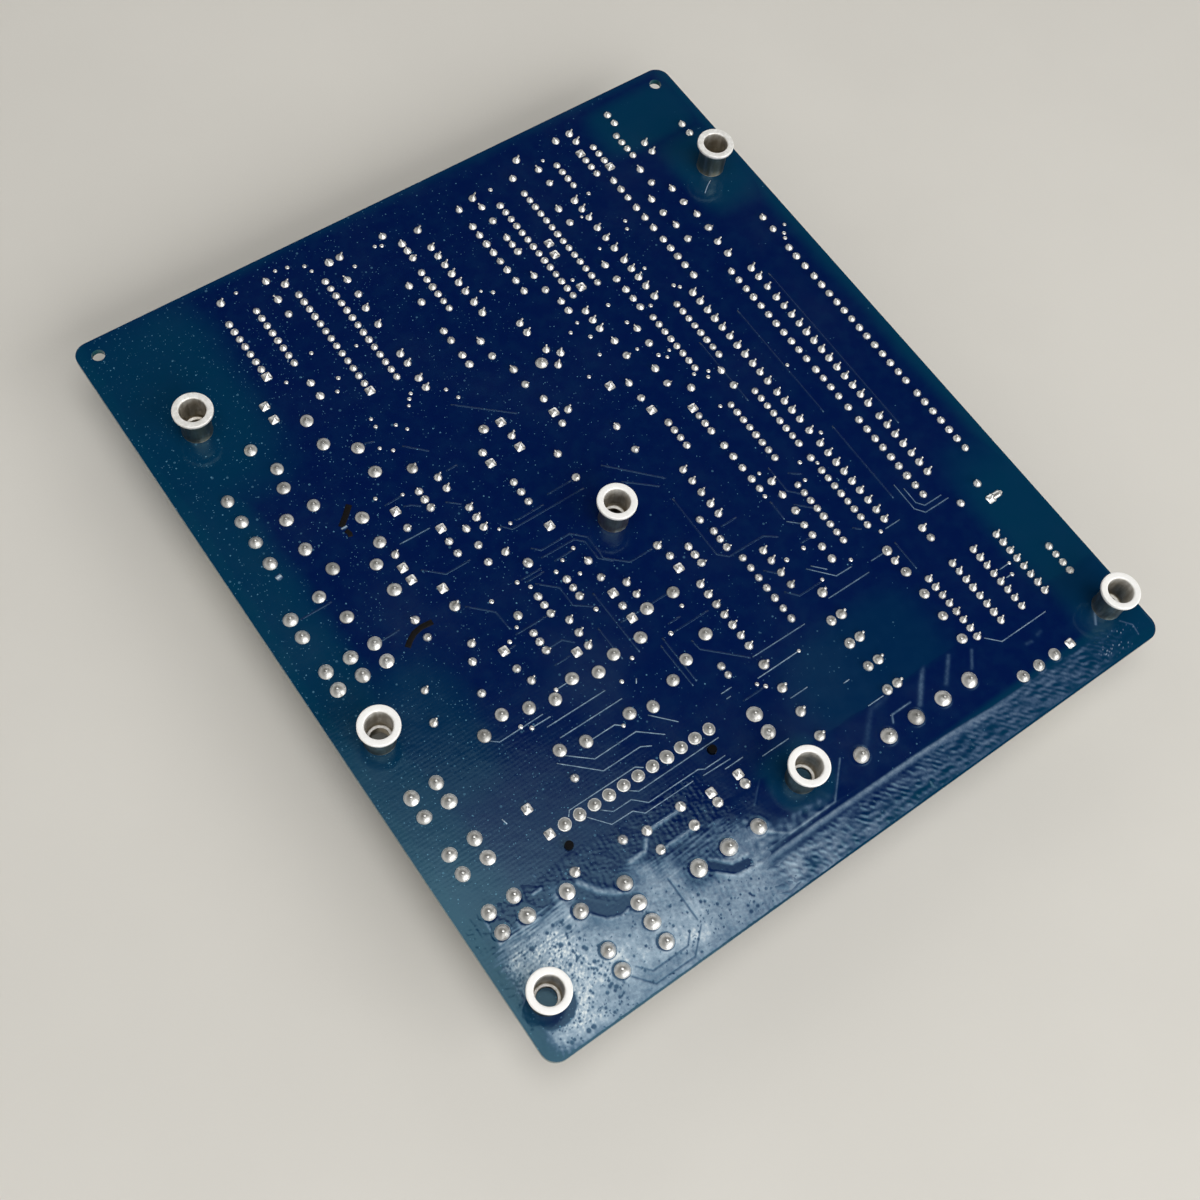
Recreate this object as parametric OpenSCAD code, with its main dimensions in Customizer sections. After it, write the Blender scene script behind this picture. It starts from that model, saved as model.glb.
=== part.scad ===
// HVAC control board: a double-sided through-hole board lying on its tallest
// components, solder side up, with seven flanged spacers standing on it.
// Frame: X to the right and Y along the long side, both from the board's
// centre; Z up from the surface that the board lies on. Millimetres.
// Places on the board are in grid steps (grid = one tenth of an inch) from its
// lower left corner, as a layout drawing gives them.

/* [Board] */
// Board width, along X
board_w = 177.8; // [160:0.1:200]
// Board length, along Y
board_l = 203.2; // [183:0.1:230]
// Board thickness
board_t = 1.6; // [1:0.1:2.4]
// Radius of the board's corners
corner_r = 3.8; // [2:0.1:6]
// Tooling hole diameter
tooling_d = 3.2; // [2:0.1:4]
// Distance from tooling hole to the side edge
tooling_inset_x = 5.08; // [4:0.1:7]
// Distance from tooling hole to the far edge
tooling_inset_y = 4.7; // [4:0.1:7]
// Clear ring between a lead and its hole
lead_gap = 0.15; // [0.05:0.01:0.2]

/* [Spacers] */
// Height of the spacers over the solder side
spacer_h = 9; // [6:0.1:14]
// Outer diameter of the spacer tube
spacer_d = 7.2; // [6.8:0.1:8]
// Wall of the spacer tube
spacer_wall = 0.45; // [0.3:0.05:0.6]
// Diameter of the rim at the spacer's free end
rim_d = 9.6; // [9:0.1:12]
// Thickness of that rim
rim_t = 0.9; // [0.5:0.1:1.6]
// Screw hole through the spacer's foot
screw_hole_d = 4.5; // [3.6:0.1:4.6]
// Thickness of the spacer's foot
foot_t = 1; // [0.6:0.1:1.6]
// Diameter of the riveted collar under the board
collar_d = 6.8; // [6.2:0.1:8]
// Thickness of the riveted collar
collar_t = 0.5; // [0.3:0.1:0.8]

/* [Solder] */
// Height of a small joint's fillet
fillet_h = 0.75; // [0.5:0.05:1]
// Length of the clipped lead that shows above a fillet
lead_end = 0.45; // [0.2:0.05:0.8]
// Joint diameter at a chip leg
chip_joint_d = 1.95; // [1.6:0.05:2.1]
// Joint diameter at a component lead
lead_joint_d = 2.0; // [1.7:0.05:2.2]
// Joint diameter at a power component
power_joint_d = 2.5; // [2.2:0.05:3]
// Joint diameter at a relay contact
relay_joint_d = 3.1; // [2.7:0.1:3.6]
// Joint diameter at a tab leg
tab_joint_d = 3.5; // [3:0.1:3.8]
// Joint diameter at a terminal screw
terminal_joint_d = 3.9; // [3.4:0.1:4.6]
// Diameter of a filled via
via_d = 1.05; // [0.8:0.05:1.3]

/* [Components] */
// Height of the relays, terminal strips and heat sink that the board lies on
tall_h = 15.7; // [14.5:0.1:18]
// Diameter of a small component lead
lead_d = 0.6; // [0.5:0.05:0.8]
// Diameter of a small resistor's end caps
resistor_d = 2.3; // [1.8:0.1:2.6]
// Length of a small resistor
resistor_l = 6.3; // [5:0.1:7]
// Diameter of a power resistor
power_d = 4.4; // [3.5:0.1:5]
// Length of a power resistor
power_l = 12; // [9:0.5:14]
// Diameter of a rectifier diode
diode_d = 2.6; // [2:0.1:2.9]
// Length of a rectifier diode
diode_l = 5.2; // [4:0.1:6]
// Height of a chip's moulding
chip_h = 3.3; // [2.8:0.1:4]
// Width of a chip's moulding
chip_w = 6.4; // [5.8:0.1:6.8]
// Gap under a chip
chip_gap = 0.6; // [0.4:0.1:1]
// Slim relay length
slim_relay_l = 20; // [19:0.1:22]
// Slim relay width
slim_relay_w = 10.2; // [9.4:0.1:11.4]
// Cube relay length
cube_relay_l = 19; // [17:0.1:20]
// Cube relay width
cube_relay_w = 15.2; // [14.6:0.1:15.8]
// Pitch of the terminal screws
terminal_pitch = 8.28; // [8:0.01:8.5]
// Depth of the terminal strips
terminal_depth = 12; // [10:0.1:12.4]
// Width of a quick-connect tab
tab_w = 6.35; // [6:0.05:6.6]
// Thickness of a quick-connect tab
tab_t = 0.8; // [0.5:0.1:1]
// Height of a quick-connect tab over the board
tab_h = 11.5; // [9:0.1:14]

/* [View] */
// Which sub-part to draw

/* [Hidden] */
$fn = 32;
grid = 2.54;
row_gap = 3 * grid;                 // between the two rows of a chip's legs
under = tall_h;                     // board's underside over the surface
face = under + board_t;             // board's solder side over the surface

// ---- Layout, in grid steps from the lower left corner ----

// The layout is drawn for a board of 70 by 80 steps. On another size of board the
// parts move apart or together with it, while the leads of each keep their pitch.
kx = board_w / (70 * grid);
ky = board_l / (80 * grid);
function spread_one(p) = [p[0] * kx, p[1] * ky, each [for (i = [2 : 1 : len(p) - 1]) p[i]]];
function spread(list) = [for (p = list) spread_one(p)];
function spread_columns(list) = [for (c = list) [c[0] * kx, c[1], [for (y = c[2]) y * ky]]];

// Where the seven spacers stand
spacer_at = spread([[2.83, 4.82], [67.18, 4.82], [5.74, 66.15], [66.42, 66.15],
    [3.53, 31.05], [33.15, 37.58], [32.09, 7.8]]);

// Chips: [x of left row, y of top leg, legs in a row, square pad: 0 none,
// 1 lower left, 2 upper right]
main_controller_at   = spread_one([44.48, 73.2, 14, 0]);
second_controller_at = spread_one([21.5, 74.34, 14, 1]);
timer_chip_at        = spread_one([14.06, 74.8, 8, 1]);
driver_chip_at       = spread_one([49.81, 53.84, 8, 0]);
logic_upper_at       = spread_one([50.27, 41.53, 8, 0]);
logic_lower_at       = spread_one([50.28, 30.96, 8, 0]);
display_left_at      = spread_one([54.57, 16.34, 8, 0]);
display_right_at     = spread_one([60.26, 16.34, 8, 0]);
memory_chip_at       = spread_one([52.47, 74.48, 4, 2]);
sense_amplifier_at   = spread_one([57.16, 74.5, 4, 1]);
comparator_at        = spread_one([43.82, 43.22, 4, 2]);
chips_at = [main_controller_at, second_controller_at, timer_chip_at, driver_chip_at,
    logic_upper_at, logic_lower_at, display_left_at, display_right_at,
    memory_chip_at, sense_amplifier_at, comparator_at];

// Small resistors: [x of left lead, span, rows in y]
resistor_columns_right = spread_columns([
    [55.05, 5, [54.15, 52.9, 51.65, 50.45, 49.2, 47.95, 46.7, 45.45, 44.2, 43, 41.75, 40.25,
        39.05, 37.85, 36.6, 35.1, 33.4, 32.15, 30.9, 29.7, 28.45, 27.25, 26, 24.75, 23.55]],
    [62.05, 5, [53.4, 52.15, 50.7, 49.2, 47.95, 46.7, 45.45, 44.25, 43.05, 41.8, 40.6,
        39.35, 38.1, 36.85, 35.6, 34.4, 32.65, 31.45, 30.2, 28.95, 27.7, 26.5, 25.25]],
    [61.1, 6, [57.87, 56.15]], [62.2, 5, [72.2, 70.85]], [56, 5, [77.28, 76.03]],
    [57.57, 5, [20.8]], [53.05, 4.55, [19.57]]]);
resistor_columns_middle = spread_columns([
    [51.43, 5, [69.8, 68.5, 67.25, 65.75, 64.25, 62.75, 61.05, 59.77, 58.55, 57.3, 55.83]],
    [44.45, 5, [58, 56.75, 55.55]], [49.2, 5, [77.2]], [42.55, 5, [75.43]],
    [41.9, 5, [38.25, 36.8, 35.35, 33.9, 32.65]], [48.35, 4.9, [32.63]],
    [43.1, 5, [27.25, 26, 24.53, 23.05]],
    [35.6, 5, [74.9, 72.43, 71.17, 69.92, 68.67, 67.43, 66.2, 64.67, 63.2]],
    [38.05, 5, [60.22, 58.97]],
    [36, 5, [27.7, 26.47, 25.25, 24.02, 22.8, 21.55, 20.33]], [35, 5, [33.07]]]);
resistor_columns_left = spread_columns([
    [26.2, 5, [69.63, 67.38, 63.38, 62.1, 60.1, 58.87]],
    [14.6, 5, [77.35]], [21, 5, [76.1]], [27.2, 5, [76.1]],
    [22.5, 5, [45.77, 44.55, 43.35]], [21.8, 5, [49.98]],
    [15.1, 5, [34.23]], [9.2, 5, [32.73]], [8.2, 5, [29.78]],
    [23.75, 4.9, [29.85]], [30.35, 5, [31.57]], [10.8, 5, [12.08]]]);

// Power resistors: [x, span, rows]
power_columns = spread_columns([[20.3, 8, [52.05]], [15.85, 8, [38.1]], [45.1, 8, [20.8]],
    [36, 8, [18.1, 15.4, 12.7, 9.95]], [45.2, 8, [18.1, 15.4, 12.7, 9.95]]]);

// Diodes: [x of left lead, y, square pad on the left, span]
diodes_at = spread([[12.22, 65.05, true, 5], [12.22, 63.35, true, 5], [14, 43.82, true, 5],
    [14, 42.4, true, 5], [15.9, 40.15, true, 4.95], [30.1, 51.82, true, 5],
    [30.1, 48.62, true, 4.95], [10.55, 18.85, true, 5], [43.25, 45.2, true, 4.85],
    [21.85, 48.6, false, 4.95], [14.15, 45.33, false, 4.95], [30.15, 50.03, false, 4.9],
    [36.4, 49.57, false, 5], [22.75, 40.15, false, 4.95], [17.55, 28.38, false, 4.95],
    [23.75, 31.35, false, 4.9], [23.75, 28.38, false, 4.9], [30.4, 30.1, false, 4.9]]);

// Upright two-lead parts: [x, y of the upper lead], leads two steps apart
discs_at = spread([[19.5, 74.9], [26.45, 73.4], [33.6, 60.5], [34.5, 56.1], [42.75, 74],
    [42.5, 64.2], [49.4, 69.77], [49.4, 61.53], [50.5, 75], [59.7, 69.57], [58.43, 65.8],
    [61.12, 65.8], [58.65, 61.8], [61.38, 61.8], [21.05, 44.07], [43.2, 48.87],
    [46.4, 48.87], [51.87, 45.2], [44.87, 53.6], [47.65, 53.6], [12.15, 38.87],
    [28.65, 35.27], [48.35, 30.92]]);
varistors_at = spread([[18, 11.57], [21.7, 11.67]]);
electrolytics_at = spread([[16.55, 49.05, 2], [17.1, 32.03, 2], [65.4, 21.55, 1]]);
films_at = spread([[32.75, 46.07], [39.3, 45.52]]);
// Transistors: [x, y of the upper lead], leads one step apart
transistors_at = spread([[33.35, 74.3], [42.78, 69.5], [19.5, 49.67], [22.7, 34.8], [25.9, 34.8],
    [20.3, 32.05], [37.4, 31.4], [40.4, 31.4]]);
leds_at = spread([[24.65, 11.17], [27.68, 11.17]]);

// Relays: [x, y] of the first coil lead and the turn of the body
slim_relay_leads = [[0, 0], [6, 0], [1.03, -3], [6, -3]];
slim_centre = [2.7, -1.5];
slim_relays_at = spread([[8.73, 61.65, 0], [7.65, 50.15, 0], [6.2, 45.4, 0],
    [25.15, 20.4, 90], [30.35, 22.4, 90]]);
cube_relay_leads = [[0, 0], [4.72, 0], [2.36, 0.79], [4.72, -4.72]];
cube_relays_at = spread([[11.18, 26.35], [18.3, 25.75]]);
main_relay_centre = spread_one([12.5, 55.1]);
main_relay_leads = [for (p = [[-3.25, 1.5], [4.7, 1.5], [-4.75, -1.5], [-1.9, -1.5], [4.7, -1.5]])
    main_relay_centre + p];
main_relay_size = [29, 12.6];

// Quick-connect tabs: [x, y midway between the legs]
tabs_at = spread([[2.95, 43.85], [2.95, 37.9], [5.45, 37.9], [7.92, 37.9], [2.92, 24.1],
    [5.42, 24.1], [2.9, 18.2], [5.42, 18.2], [2.9, 12.3], [5.4, 12.3], [9.3, 10.1],
    [9.3, 4.15], [13.75, 7.95], [13.75, 4], [32.35, 13.8]]);
tab_leg_gap = 2 * grid;

// Headers: [x, y of the first pin, number of pins]
harness_at = spread_one([10.9, 15.95, 12]);
harness_pitch = 3.96;
harness_pegs = [for (p = [[0.75, -1.75], [16.2, -1.7]]) [harness_at[0], harness_at[1]] + p];
power_header_at = spread_one([4.27, 50.6, 4]);
power_pitch = 6.35;
sensor_at = spread_one([55.55, 3.93, 4]);
sensor_pitch = 5.08;
diagnostic_at = spread_one([66.8, 9.57, 4]);
link_at = spread_one([32.65, 19.12, 2]);
network_at = spread_one([33.12, 65.35, 6]);

// Terminal strips: [x of the first screw, y, number of screws]
thermostat_at = spread_one([38, 6.45, 5]);
common_at = spread_one([19.75, 6.45, 3]);

heat_sink_peg = spread_one([37.25, 55.28]);
regulator_leads = [for (p = [[1.25, 1.02], [2.25, 0], [1.25, -1.03]]) heat_sink_peg + p];
heat_sink_w = 14.4;
test_pads_at = spread([[46.05, 66.7], [45.75, 65.25], [45.75, 60.6]]);

// Solder-filled vias
vias_at = spread([[16.45, 77.65], [15.3, 66.3], [19, 67.9], [18.85, 62.9], [19.7, 64.15],
    [20.98, 77.95], [22.2, 77.7], [23.7, 76.97], [24, 76.1], [27.9, 74.4], [30.87, 75.43],
    [31.5, 75.15], [23.1, 66.37], [36.9, 65.4], [37.85, 64.67], [44.75, 75.4], [45.5, 61.75],
    [51.55, 75.75], [53.2, 69.8], [50.83, 67.7], [50.1, 63.5], [54.4, 64.97], [53.97, 64.05],
    [18.9, 55.5], [15.7, 51.17], [18.05, 50.2], [19.9, 58.63], [19.83, 57.7], [21.53, 56.85],
    [22.2, 55.9], [19.85, 54.65], [23.72, 58], [24.15, 58.6], [24.6, 59.05], [27.7, 57.65],
    [28.22, 56.3], [41.7, 56.67], [42.93, 57.3], [43.1, 55.27], [42.65, 53.07], [40.27, 51.53],
    [46.8, 57.4], [47.2, 54.73], [46.2, 51.63], [47.6, 49.95], [48.85, 49.85], [48.2, 49.3],
    [49.27, 46.3], [50.72, 45.83], [50.28, 45.3], [50.43, 55.1], [52.6, 59.13], [53.9, 55.87],
    [54.33, 55.4], [49.25, 41.97], [57.9, 42.2], [68.47, 55.97], [67.75, 55.13], [67.45, 54.57],
    [23.55, 42.4], [24.77, 42.35], [18.87, 36.67], [19.35, 33.33], [18.02, 32.5], [21.9, 37],
    [22.67, 35.97], [25.5, 35.95], [26.67, 36.6], [28.22, 37.1], [27.25, 34.63], [26.4, 30.9],
    [33.22, 26.87], [30.72, 25.23], [26.33, 25.2], [24.22, 23.87], [18.87, 26.45], [14.3, 25.3],
    [15.05, 24.67], [21.9, 20.4], [47.87, 33.97], [46.8, 31.7], [44.37, 25.27], [46.5, 25.37],
    [45.93, 21.83], [49.53, 21.95], [51.2, 31], [52, 32.8], [53.43, 31.83], [53.9, 22.7],
    [55.87, 34.3], [34.3, 16.95], [34.85, 16.37], [39.55, 17.4], [62.27, 13.37], [61.7, 12.33],
    [66.7, 19.6]]);

// ---- Derived lists of lead places ----

function flat(lists) = [for (l = lists) each l];
function column_ends(cols) = flat([for (c = cols, y = c[2]) [[c[0], y], [c[0] + c[1], y]]]);
function legs(chip) = flat([for (i = [0 : chip[2] - 1])
    [[chip[0], chip[1] - i], [chip[0] + 3, chip[1] - i]]]);
function square_leg(chip) = chip[3] == 1 ? [[chip[0], chip[1] - chip[2] + 1]]
    : chip[3] == 2 ? [[chip[0] + 3, chip[1]]] : [];
function round_legs(chip) = [for (p = legs(chip))
    if (len([for (s = square_leg(chip)) if (norm(s - p) < 0.01) 1]) == 0) p];
function diode_square(d) = [d[0] + (d[2] ? 0 : d[3]), d[1]];
function diode_round(d) = [d[0] + (d[2] ? d[3] : 0), d[1]];
function below(p, step) = [p[0], p[1] - step];
function turn(p, a) = [p[0] * cos(a) - p[1] * sin(a), p[0] * sin(a) + p[1] * cos(a)];
function slim_leads(r) = [for (p = slim_relay_leads) [r[0], r[1]] + turn(p, r[2])];
function cube_leads(r, i) = concat([for (p = cube_relay_leads) r + p],
    i == 1 ? [r + [0, -4.72]] : []);
function pin_row(at, pitch, dir) = [for (i = [0 : at[2] - 1])
    [at[0], at[1]] + dir * i * pitch / grid];

resistor_leads = column_ends(concat(resistor_columns_right, resistor_columns_middle,
    resistor_columns_left));
power_leads = column_ends(power_columns);
disc_leads = flat([for (p = discs_at) [p, below(p, 2)]]);
varistor_leads = flat([for (p = varistors_at) [p, below(p, 2)]]);
film_leads = flat([for (p = films_at) [p, below(p, 3)]]);
transistor_leads = flat([for (p = transistors_at) [p, below(p, 1), below(p, 2)]]);
led_leads = flat([for (p = leds_at) [p, below(p, 1)]]);
electrolytic_square = [for (e = electrolytics_at) e[2] == 2 ? [e[0], e[1]] : [e[0], e[1] - 2]];
electrolytic_round = [for (e = electrolytics_at) e[2] == 2 ? [e[0], e[1] - 2] : [e[0], e[1]]];
relay_leads = concat(flat([for (r = slim_relays_at) slim_leads(r)]),
    flat([for (i = [0, 1]) cube_leads(cube_relays_at[i], i)]), main_relay_leads);
tab_legs = flat([for (t = tabs_at) [t + [0, 1], t - [0, 1]]]);
harness_row = pin_row(harness_at, harness_pitch, [1, 0]);
power_row = pin_row(power_header_at, power_pitch, [0, 1]);
sensor_row = pin_row(sensor_at, sensor_pitch, [1, 0]);
diagnostic_row = pin_row(diagnostic_at, grid, [0, 1]);
link_row = pin_row(link_at, grid, [0, 1]);
network_row = pin_row(network_at, grid, [0, 1]);
thermostat_row = pin_row(thermostat_at, terminal_pitch, [1, 0]);
common_row = pin_row(common_at, terminal_pitch, [1, 0]);

small_leads = concat(resistor_leads, disc_leads, film_leads, transistor_leads,
    [for (d = diodes_at) diode_round(d)], electrolytic_round, varistor_leads,
    [for (p = leds_at) below(p, 1)], regulator_leads);
square_leads = concat([for (d = diodes_at) diode_square(d)], electrolytic_square, leds_at,
    [for (c = chips_at) each square_leg(c)], [harness_row[0]], [sensor_row[3]]);
leg_places = concat([for (c = chips_at) each round_legs(c)], diagnostic_row, link_row,
    network_row);
wide_pins = concat([for (i = [1 : 11]) harness_row[i]], [for (i = [0 : 2]) sensor_row[i]]);

// Where a place on the layout lies in the part's frame
function at(p) = [p[0] * grid - board_w / 2, p[1] * grid - board_l / 2];

// ---- Holes and leads ----

pin_d = 0.9;                        // round pins of headers and relays
stout_d = 1.3;                      // legs of tabs, terminals, large pins
leg_w = 0.5;                        // chip leg, across
leg_t = 0.3;                        // chip leg, thick
neck_d = screw_hole_d + 2 * spacer_wall;   // spacer's neck through the board
neck_gap = 0.1;                     // clear ring round that neck
peg_d = 2;

module holes(places, d) {
    for (p = places) translate(at(p)) circle(d = d, $fn = 16);
}

module board_outline() {
    for (s = [-1, 1]) {
        for (t = [-1, 1]) translate([s * (board_w / 2 - corner_r), t * (board_l / 2 - corner_r)])
            circle(corner_r, $fn = 48);
    }
    square([board_w, board_l - 2 * corner_r], center = true);
    square([board_w - 2 * corner_r, board_l], center = true);
}

module circuit_board() {
    color([0.02, 0.1, 0.3]) translate([0, 0, under]) linear_extrude(board_t) difference() {
        board_outline();
        for (s = [-1, 1]) translate([s * (board_w / 2 - tooling_inset_x),
            board_l / 2 - tooling_inset_y]) circle(d = tooling_d);
        for (p = spacer_at) translate(at(p)) circle(d = neck_d + 2 * neck_gap);
        holes(small_leads, lead_d + 2 * lead_gap);
        holes(concat(leg_places, square_leads), pin_d + 2 * lead_gap);
        holes(concat(power_leads, relay_leads, wide_pins), pin_d + 2 * lead_gap);
        holes(concat(tab_legs, thermostat_row, common_row, power_row, [heat_sink_peg]),
            stout_d + 2 * lead_gap);
        holes(harness_pegs, peg_d + 2 * lead_gap);
    }
}

// A spacer: foot on the board, thin tube, rim at the free end, and a neck
// through the board spread into a collar below it.
module spacer() {
    ro = spacer_d / 2;
    ri = ro - spacer_wall;
    neck = neck_d / 2;
    hole = screw_hole_d / 2;
    step = 0.35;
    rotate_extrude($fn = 48) polygon([
        [hole, -board_t - collar_t], [collar_d / 2 - 0.2, -board_t - collar_t],
        [collar_d / 2, -board_t], [neck, -board_t], [neck, 0], [ro, 0],
        [ro, spacer_h - rim_t], [rim_d / 2 - 0.15, spacer_h - rim_t],
        [rim_d / 2, spacer_h - rim_t + 0.15], [rim_d / 2, spacer_h - 0.15],
        [rim_d / 2 - 0.15, spacer_h], [ri + 0.25, spacer_h], [ri, spacer_h - 0.4],
        [ri, foot_t + step], [ri - step, foot_t], [hole + 0.1, foot_t],
        [hole, foot_t - 0.1]]);
}

module spacers() {
    color([0.85, 0.85, 0.83]) for (p = spacer_at) translate([each at(p), face]) spacer();
}

// ---- Solder joints, one fillet with its clipped lead each ----

module joint(d, lead, h = fillet_h, top = lead_end) {
    rotate_extrude($fn = 16) polygon([[0, 0], [d / 2, 0], [d / 2, 0.08],
        [d * 0.3 + lead * 0.1, h * 0.45], [lead / 2, h], [lead / 2, h + top], [0, h + top]]);
}

module joints(places, d, lead, h = fillet_h, top = lead_end) {
    color([0.8, 0.8, 0.8]) for (p = places) translate([each at(p), face]) joint(d, lead, h, top);
}

module chip_joints() { joints(leg_places, chip_joint_d, leg_w, fillet_h, lead_end / 2); }
module lead_joints() { joints(small_leads, lead_joint_d, lead_d); }
module power_joints() { joints(power_leads, power_joint_d, pin_d, fillet_h + 0.1); }
module relay_joints() { joints(relay_leads, relay_joint_d, pin_d, fillet_h + 0.2, 0.2); }
module tab_joints() { joints(tab_legs, tab_joint_d, stout_d, fillet_h + 0.3, 0.5); }
module header_joints() {
    joints(wide_pins, power_joint_d + 0.3, pin_d, fillet_h + 0.2);
}
module terminal_joints() {
    joints(concat(thermostat_row, common_row), terminal_joint_d, stout_d, fillet_h + 0.4, 0.8);
    joints(concat(power_row, [heat_sink_peg]), relay_joint_d, stout_d, fillet_h + 0.3, 0.8);
}

module square_joints() {
    w = lead_joint_d + 0.1;
    color([0.8, 0.8, 0.8]) for (p = concat(square_leads, test_pads_at))
        translate([each at(p), face]) {
            translate([-w / 2, -w / 2, 0]) cube([w, w, 0.25]);
            translate([0, 0, 0.25]) cylinder(d1 = w - 0.2, d2 = lead_d, h = fillet_h - 0.25, $fn = 16);
        }
}

module filled_vias() {
    color([0.8, 0.8, 0.8]) for (p = vias_at) translate([each at(p), face])
        cylinder(d1 = via_d, d2 = via_d * 0.6, h = 0.25, $fn = 16);
}

// ---- Component side: built with Z away from the board, then turned down ----

module component_side() {
    translate([0, 0, under]) mirror([0, 0, 1]) children();
}

// A straight lead from the solder side up to height h over the component side
module lead(p, h, d = lead_d) {
    translate([each at(p), -board_t]) cylinder(d = d, h = h + board_t, $fn = 16);
}

bend_r = 0.8;

// A part with a lead out of each end, both bent down into the board
module axial(x, y, span, axis_h, d) {
    p = at([x, y]);
    l = span * grid;
    for (s = [0, 1]) translate([p[0] + s * l, p[1], 0]) mirror([s, 0, 0]) {
        translate([0, 0, -board_t]) cylinder(d = d, h = board_t + axis_h - bend_r, $fn = 16);
        translate([bend_r, 0, axis_h - bend_r]) rotate([90, 0, 0]) rotate([0, 0, 90])
            rotate_extrude(angle = 90, $fn = 32) translate([bend_r, 0]) circle(d = d, $fn = 16);
        translate([bend_r, 0, axis_h]) rotate([0, 90, 0])
            cylinder(d = d, h = l / 2 - bend_r, $fn = 16);
    }
    translate([p[0] + l / 2, p[1], axis_h]) rotate([0, 90, 0]) children();
}

module resistor_body() {
    r = resistor_d / 2;
    h = resistor_l / 2;
    rotate_extrude($fn = 24) polygon([[0, -h], [r * 0.6, -h], [r, -h + 0.4], [r, -h + 1.5],
        [r * 0.8, -h + 2], [r * 0.8, h - 2], [r, h - 1.5], [r, h - 0.4], [r * 0.6, h], [0, h]]);
}

module resistors(columns) {
    component_side() color([0.75, 0.6, 0.4]) for (c = columns, y = c[2])
        axial(c[0], y, c[1], resistor_d / 2 + 0.3, lead_d) resistor_body();
}

module resistors_right() { resistors(resistor_columns_right); }
module resistors_middle() { resistors(resistor_columns_middle); }
module resistors_left() { resistors(resistor_columns_left); }

module power_resistors() {
    component_side() color([0.5, 0.55, 0.6]) for (c = power_columns, y = c[2])
        axial(c[0], y, c[1], power_d / 2 + 0.8, pin_d)
            translate([0, 0, -power_l / 2]) rotate_extrude($fn = 32) polygon([[0, 0],
                [power_d / 2 - 0.5, 0], [power_d / 2, 0.5], [power_d / 2, power_l - 0.5],
                [power_d / 2 - 0.5, power_l], [0, power_l]]);
}

module diodes() {
    component_side() color([0.12, 0.12, 0.12]) for (d = diodes_at)
        axial(d[0], d[1], d[3], diode_d / 2 + 0.3, lead_d)
            cylinder(d = diode_d, h = diode_l, center = true, $fn = 24);
}

// A disc on two leads, standing across the Y direction
module disc(p, d, t, colour) {
    mid = at(below(p, 1));
    h = d / 2 + 0.6;
    color(colour) {
        for (q = [p, below(p, 2)]) lead(q, h);
        translate([mid[0] - t / 2, mid[1], h]) rotate([0, 90, 0]) rotate_extrude($fn = 24)
            polygon([[0, 0], [d / 2 - t / 3, 0], [d / 2, t / 3], [d / 2, t * 2 / 3],
                [d / 2 - t / 3, t], [0, t]]);
    }
}

module disc_capacitors() {
    component_side() for (p = discs_at) disc(p, 6.4, 2.4, [0.8, 0.5, 0.2]);
}

module varistors() {
    component_side() for (p = varistors_at) disc(p, 7.2, 3.6, [0.15, 0.3, 0.6]);
}

module film_capacitors() {
    film = [4.2, 10.4, 9];
    component_side() color([0.7, 0.15, 0.1]) for (p = films_at) {
        m = at(below(p, 1.5));
        for (q = [p, below(p, 3)]) lead(q, 1);
        translate([m[0] - film[0] / 2, m[1] - film[1] / 2, 0.3]) cube(film);
    }
}

module electrolytic_capacitors() {
    r = 4;
    h = 11.5;
    component_side() color([0.1, 0.1, 0.15]) for (e = electrolytics_at) {
        p = [e[0], e[1]];
        for (q = [p, below(p, 2)]) lead(q, 1);
        translate([each at(below(p, 1)), 0.3]) rotate_extrude($fn = 32) polygon([[0, 0],
            [r - 0.3, 0], [r, 0.3], [r, 1], [r - 0.35, 1.4], [r, 1.8], [r, h - 0.4],
            [r - 0.4, h], [r - 0.9, h], [r - 0.9, h - 0.2], [0, h - 0.2]]);
    }
}

module transistors() {
    r = 2.4;
    gap = 2.5;
    component_side() color([0.12, 0.12, 0.12]) for (p = transistors_at) {
        m = at(below(p, 1));
        for (i = [0 : 2]) lead(below(p, i), gap + 0.5, 0.5);
        translate([m[0], m[1], gap]) intersection() {
            cylinder(r = r, h = 4.6, $fn = 32);
            translate([-1.3, -r - 1, 0]) cube([2 * r, 2 * r + 2, 5]);
        }
    }
}

module status_leds() {
    r = 1.5;
    gap = 3;
    component_side() color([0.8, 0.1, 0.1]) for (p = leds_at) {
        m = at(below(p, 0.5));
        for (q = [p, below(p, 1)]) lead(q, gap + 0.5, 0.5);
        translate([m[0], m[1], gap]) cylinder(r = r + 0.4, h = 0.9, $fn = 24);
        translate([m[0], m[1], gap]) cylinder(r = r, h = 3.6, $fn = 24);
        translate([m[0], m[1], gap + 3.6]) sphere(r, $fn = 24);
    }
}

module resistor_network() {
    component_side() color([0.1, 0.1, 0.1]) {
        for (p = network_row) lead(p, 1, 0.5);
        translate([at(network_row[0])[0] - 1.1, at(network_row[0])[1] - 1.2, 0.4])
            cube([2.2, 5 * grid + 2.4, 5]);
    }
}

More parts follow.
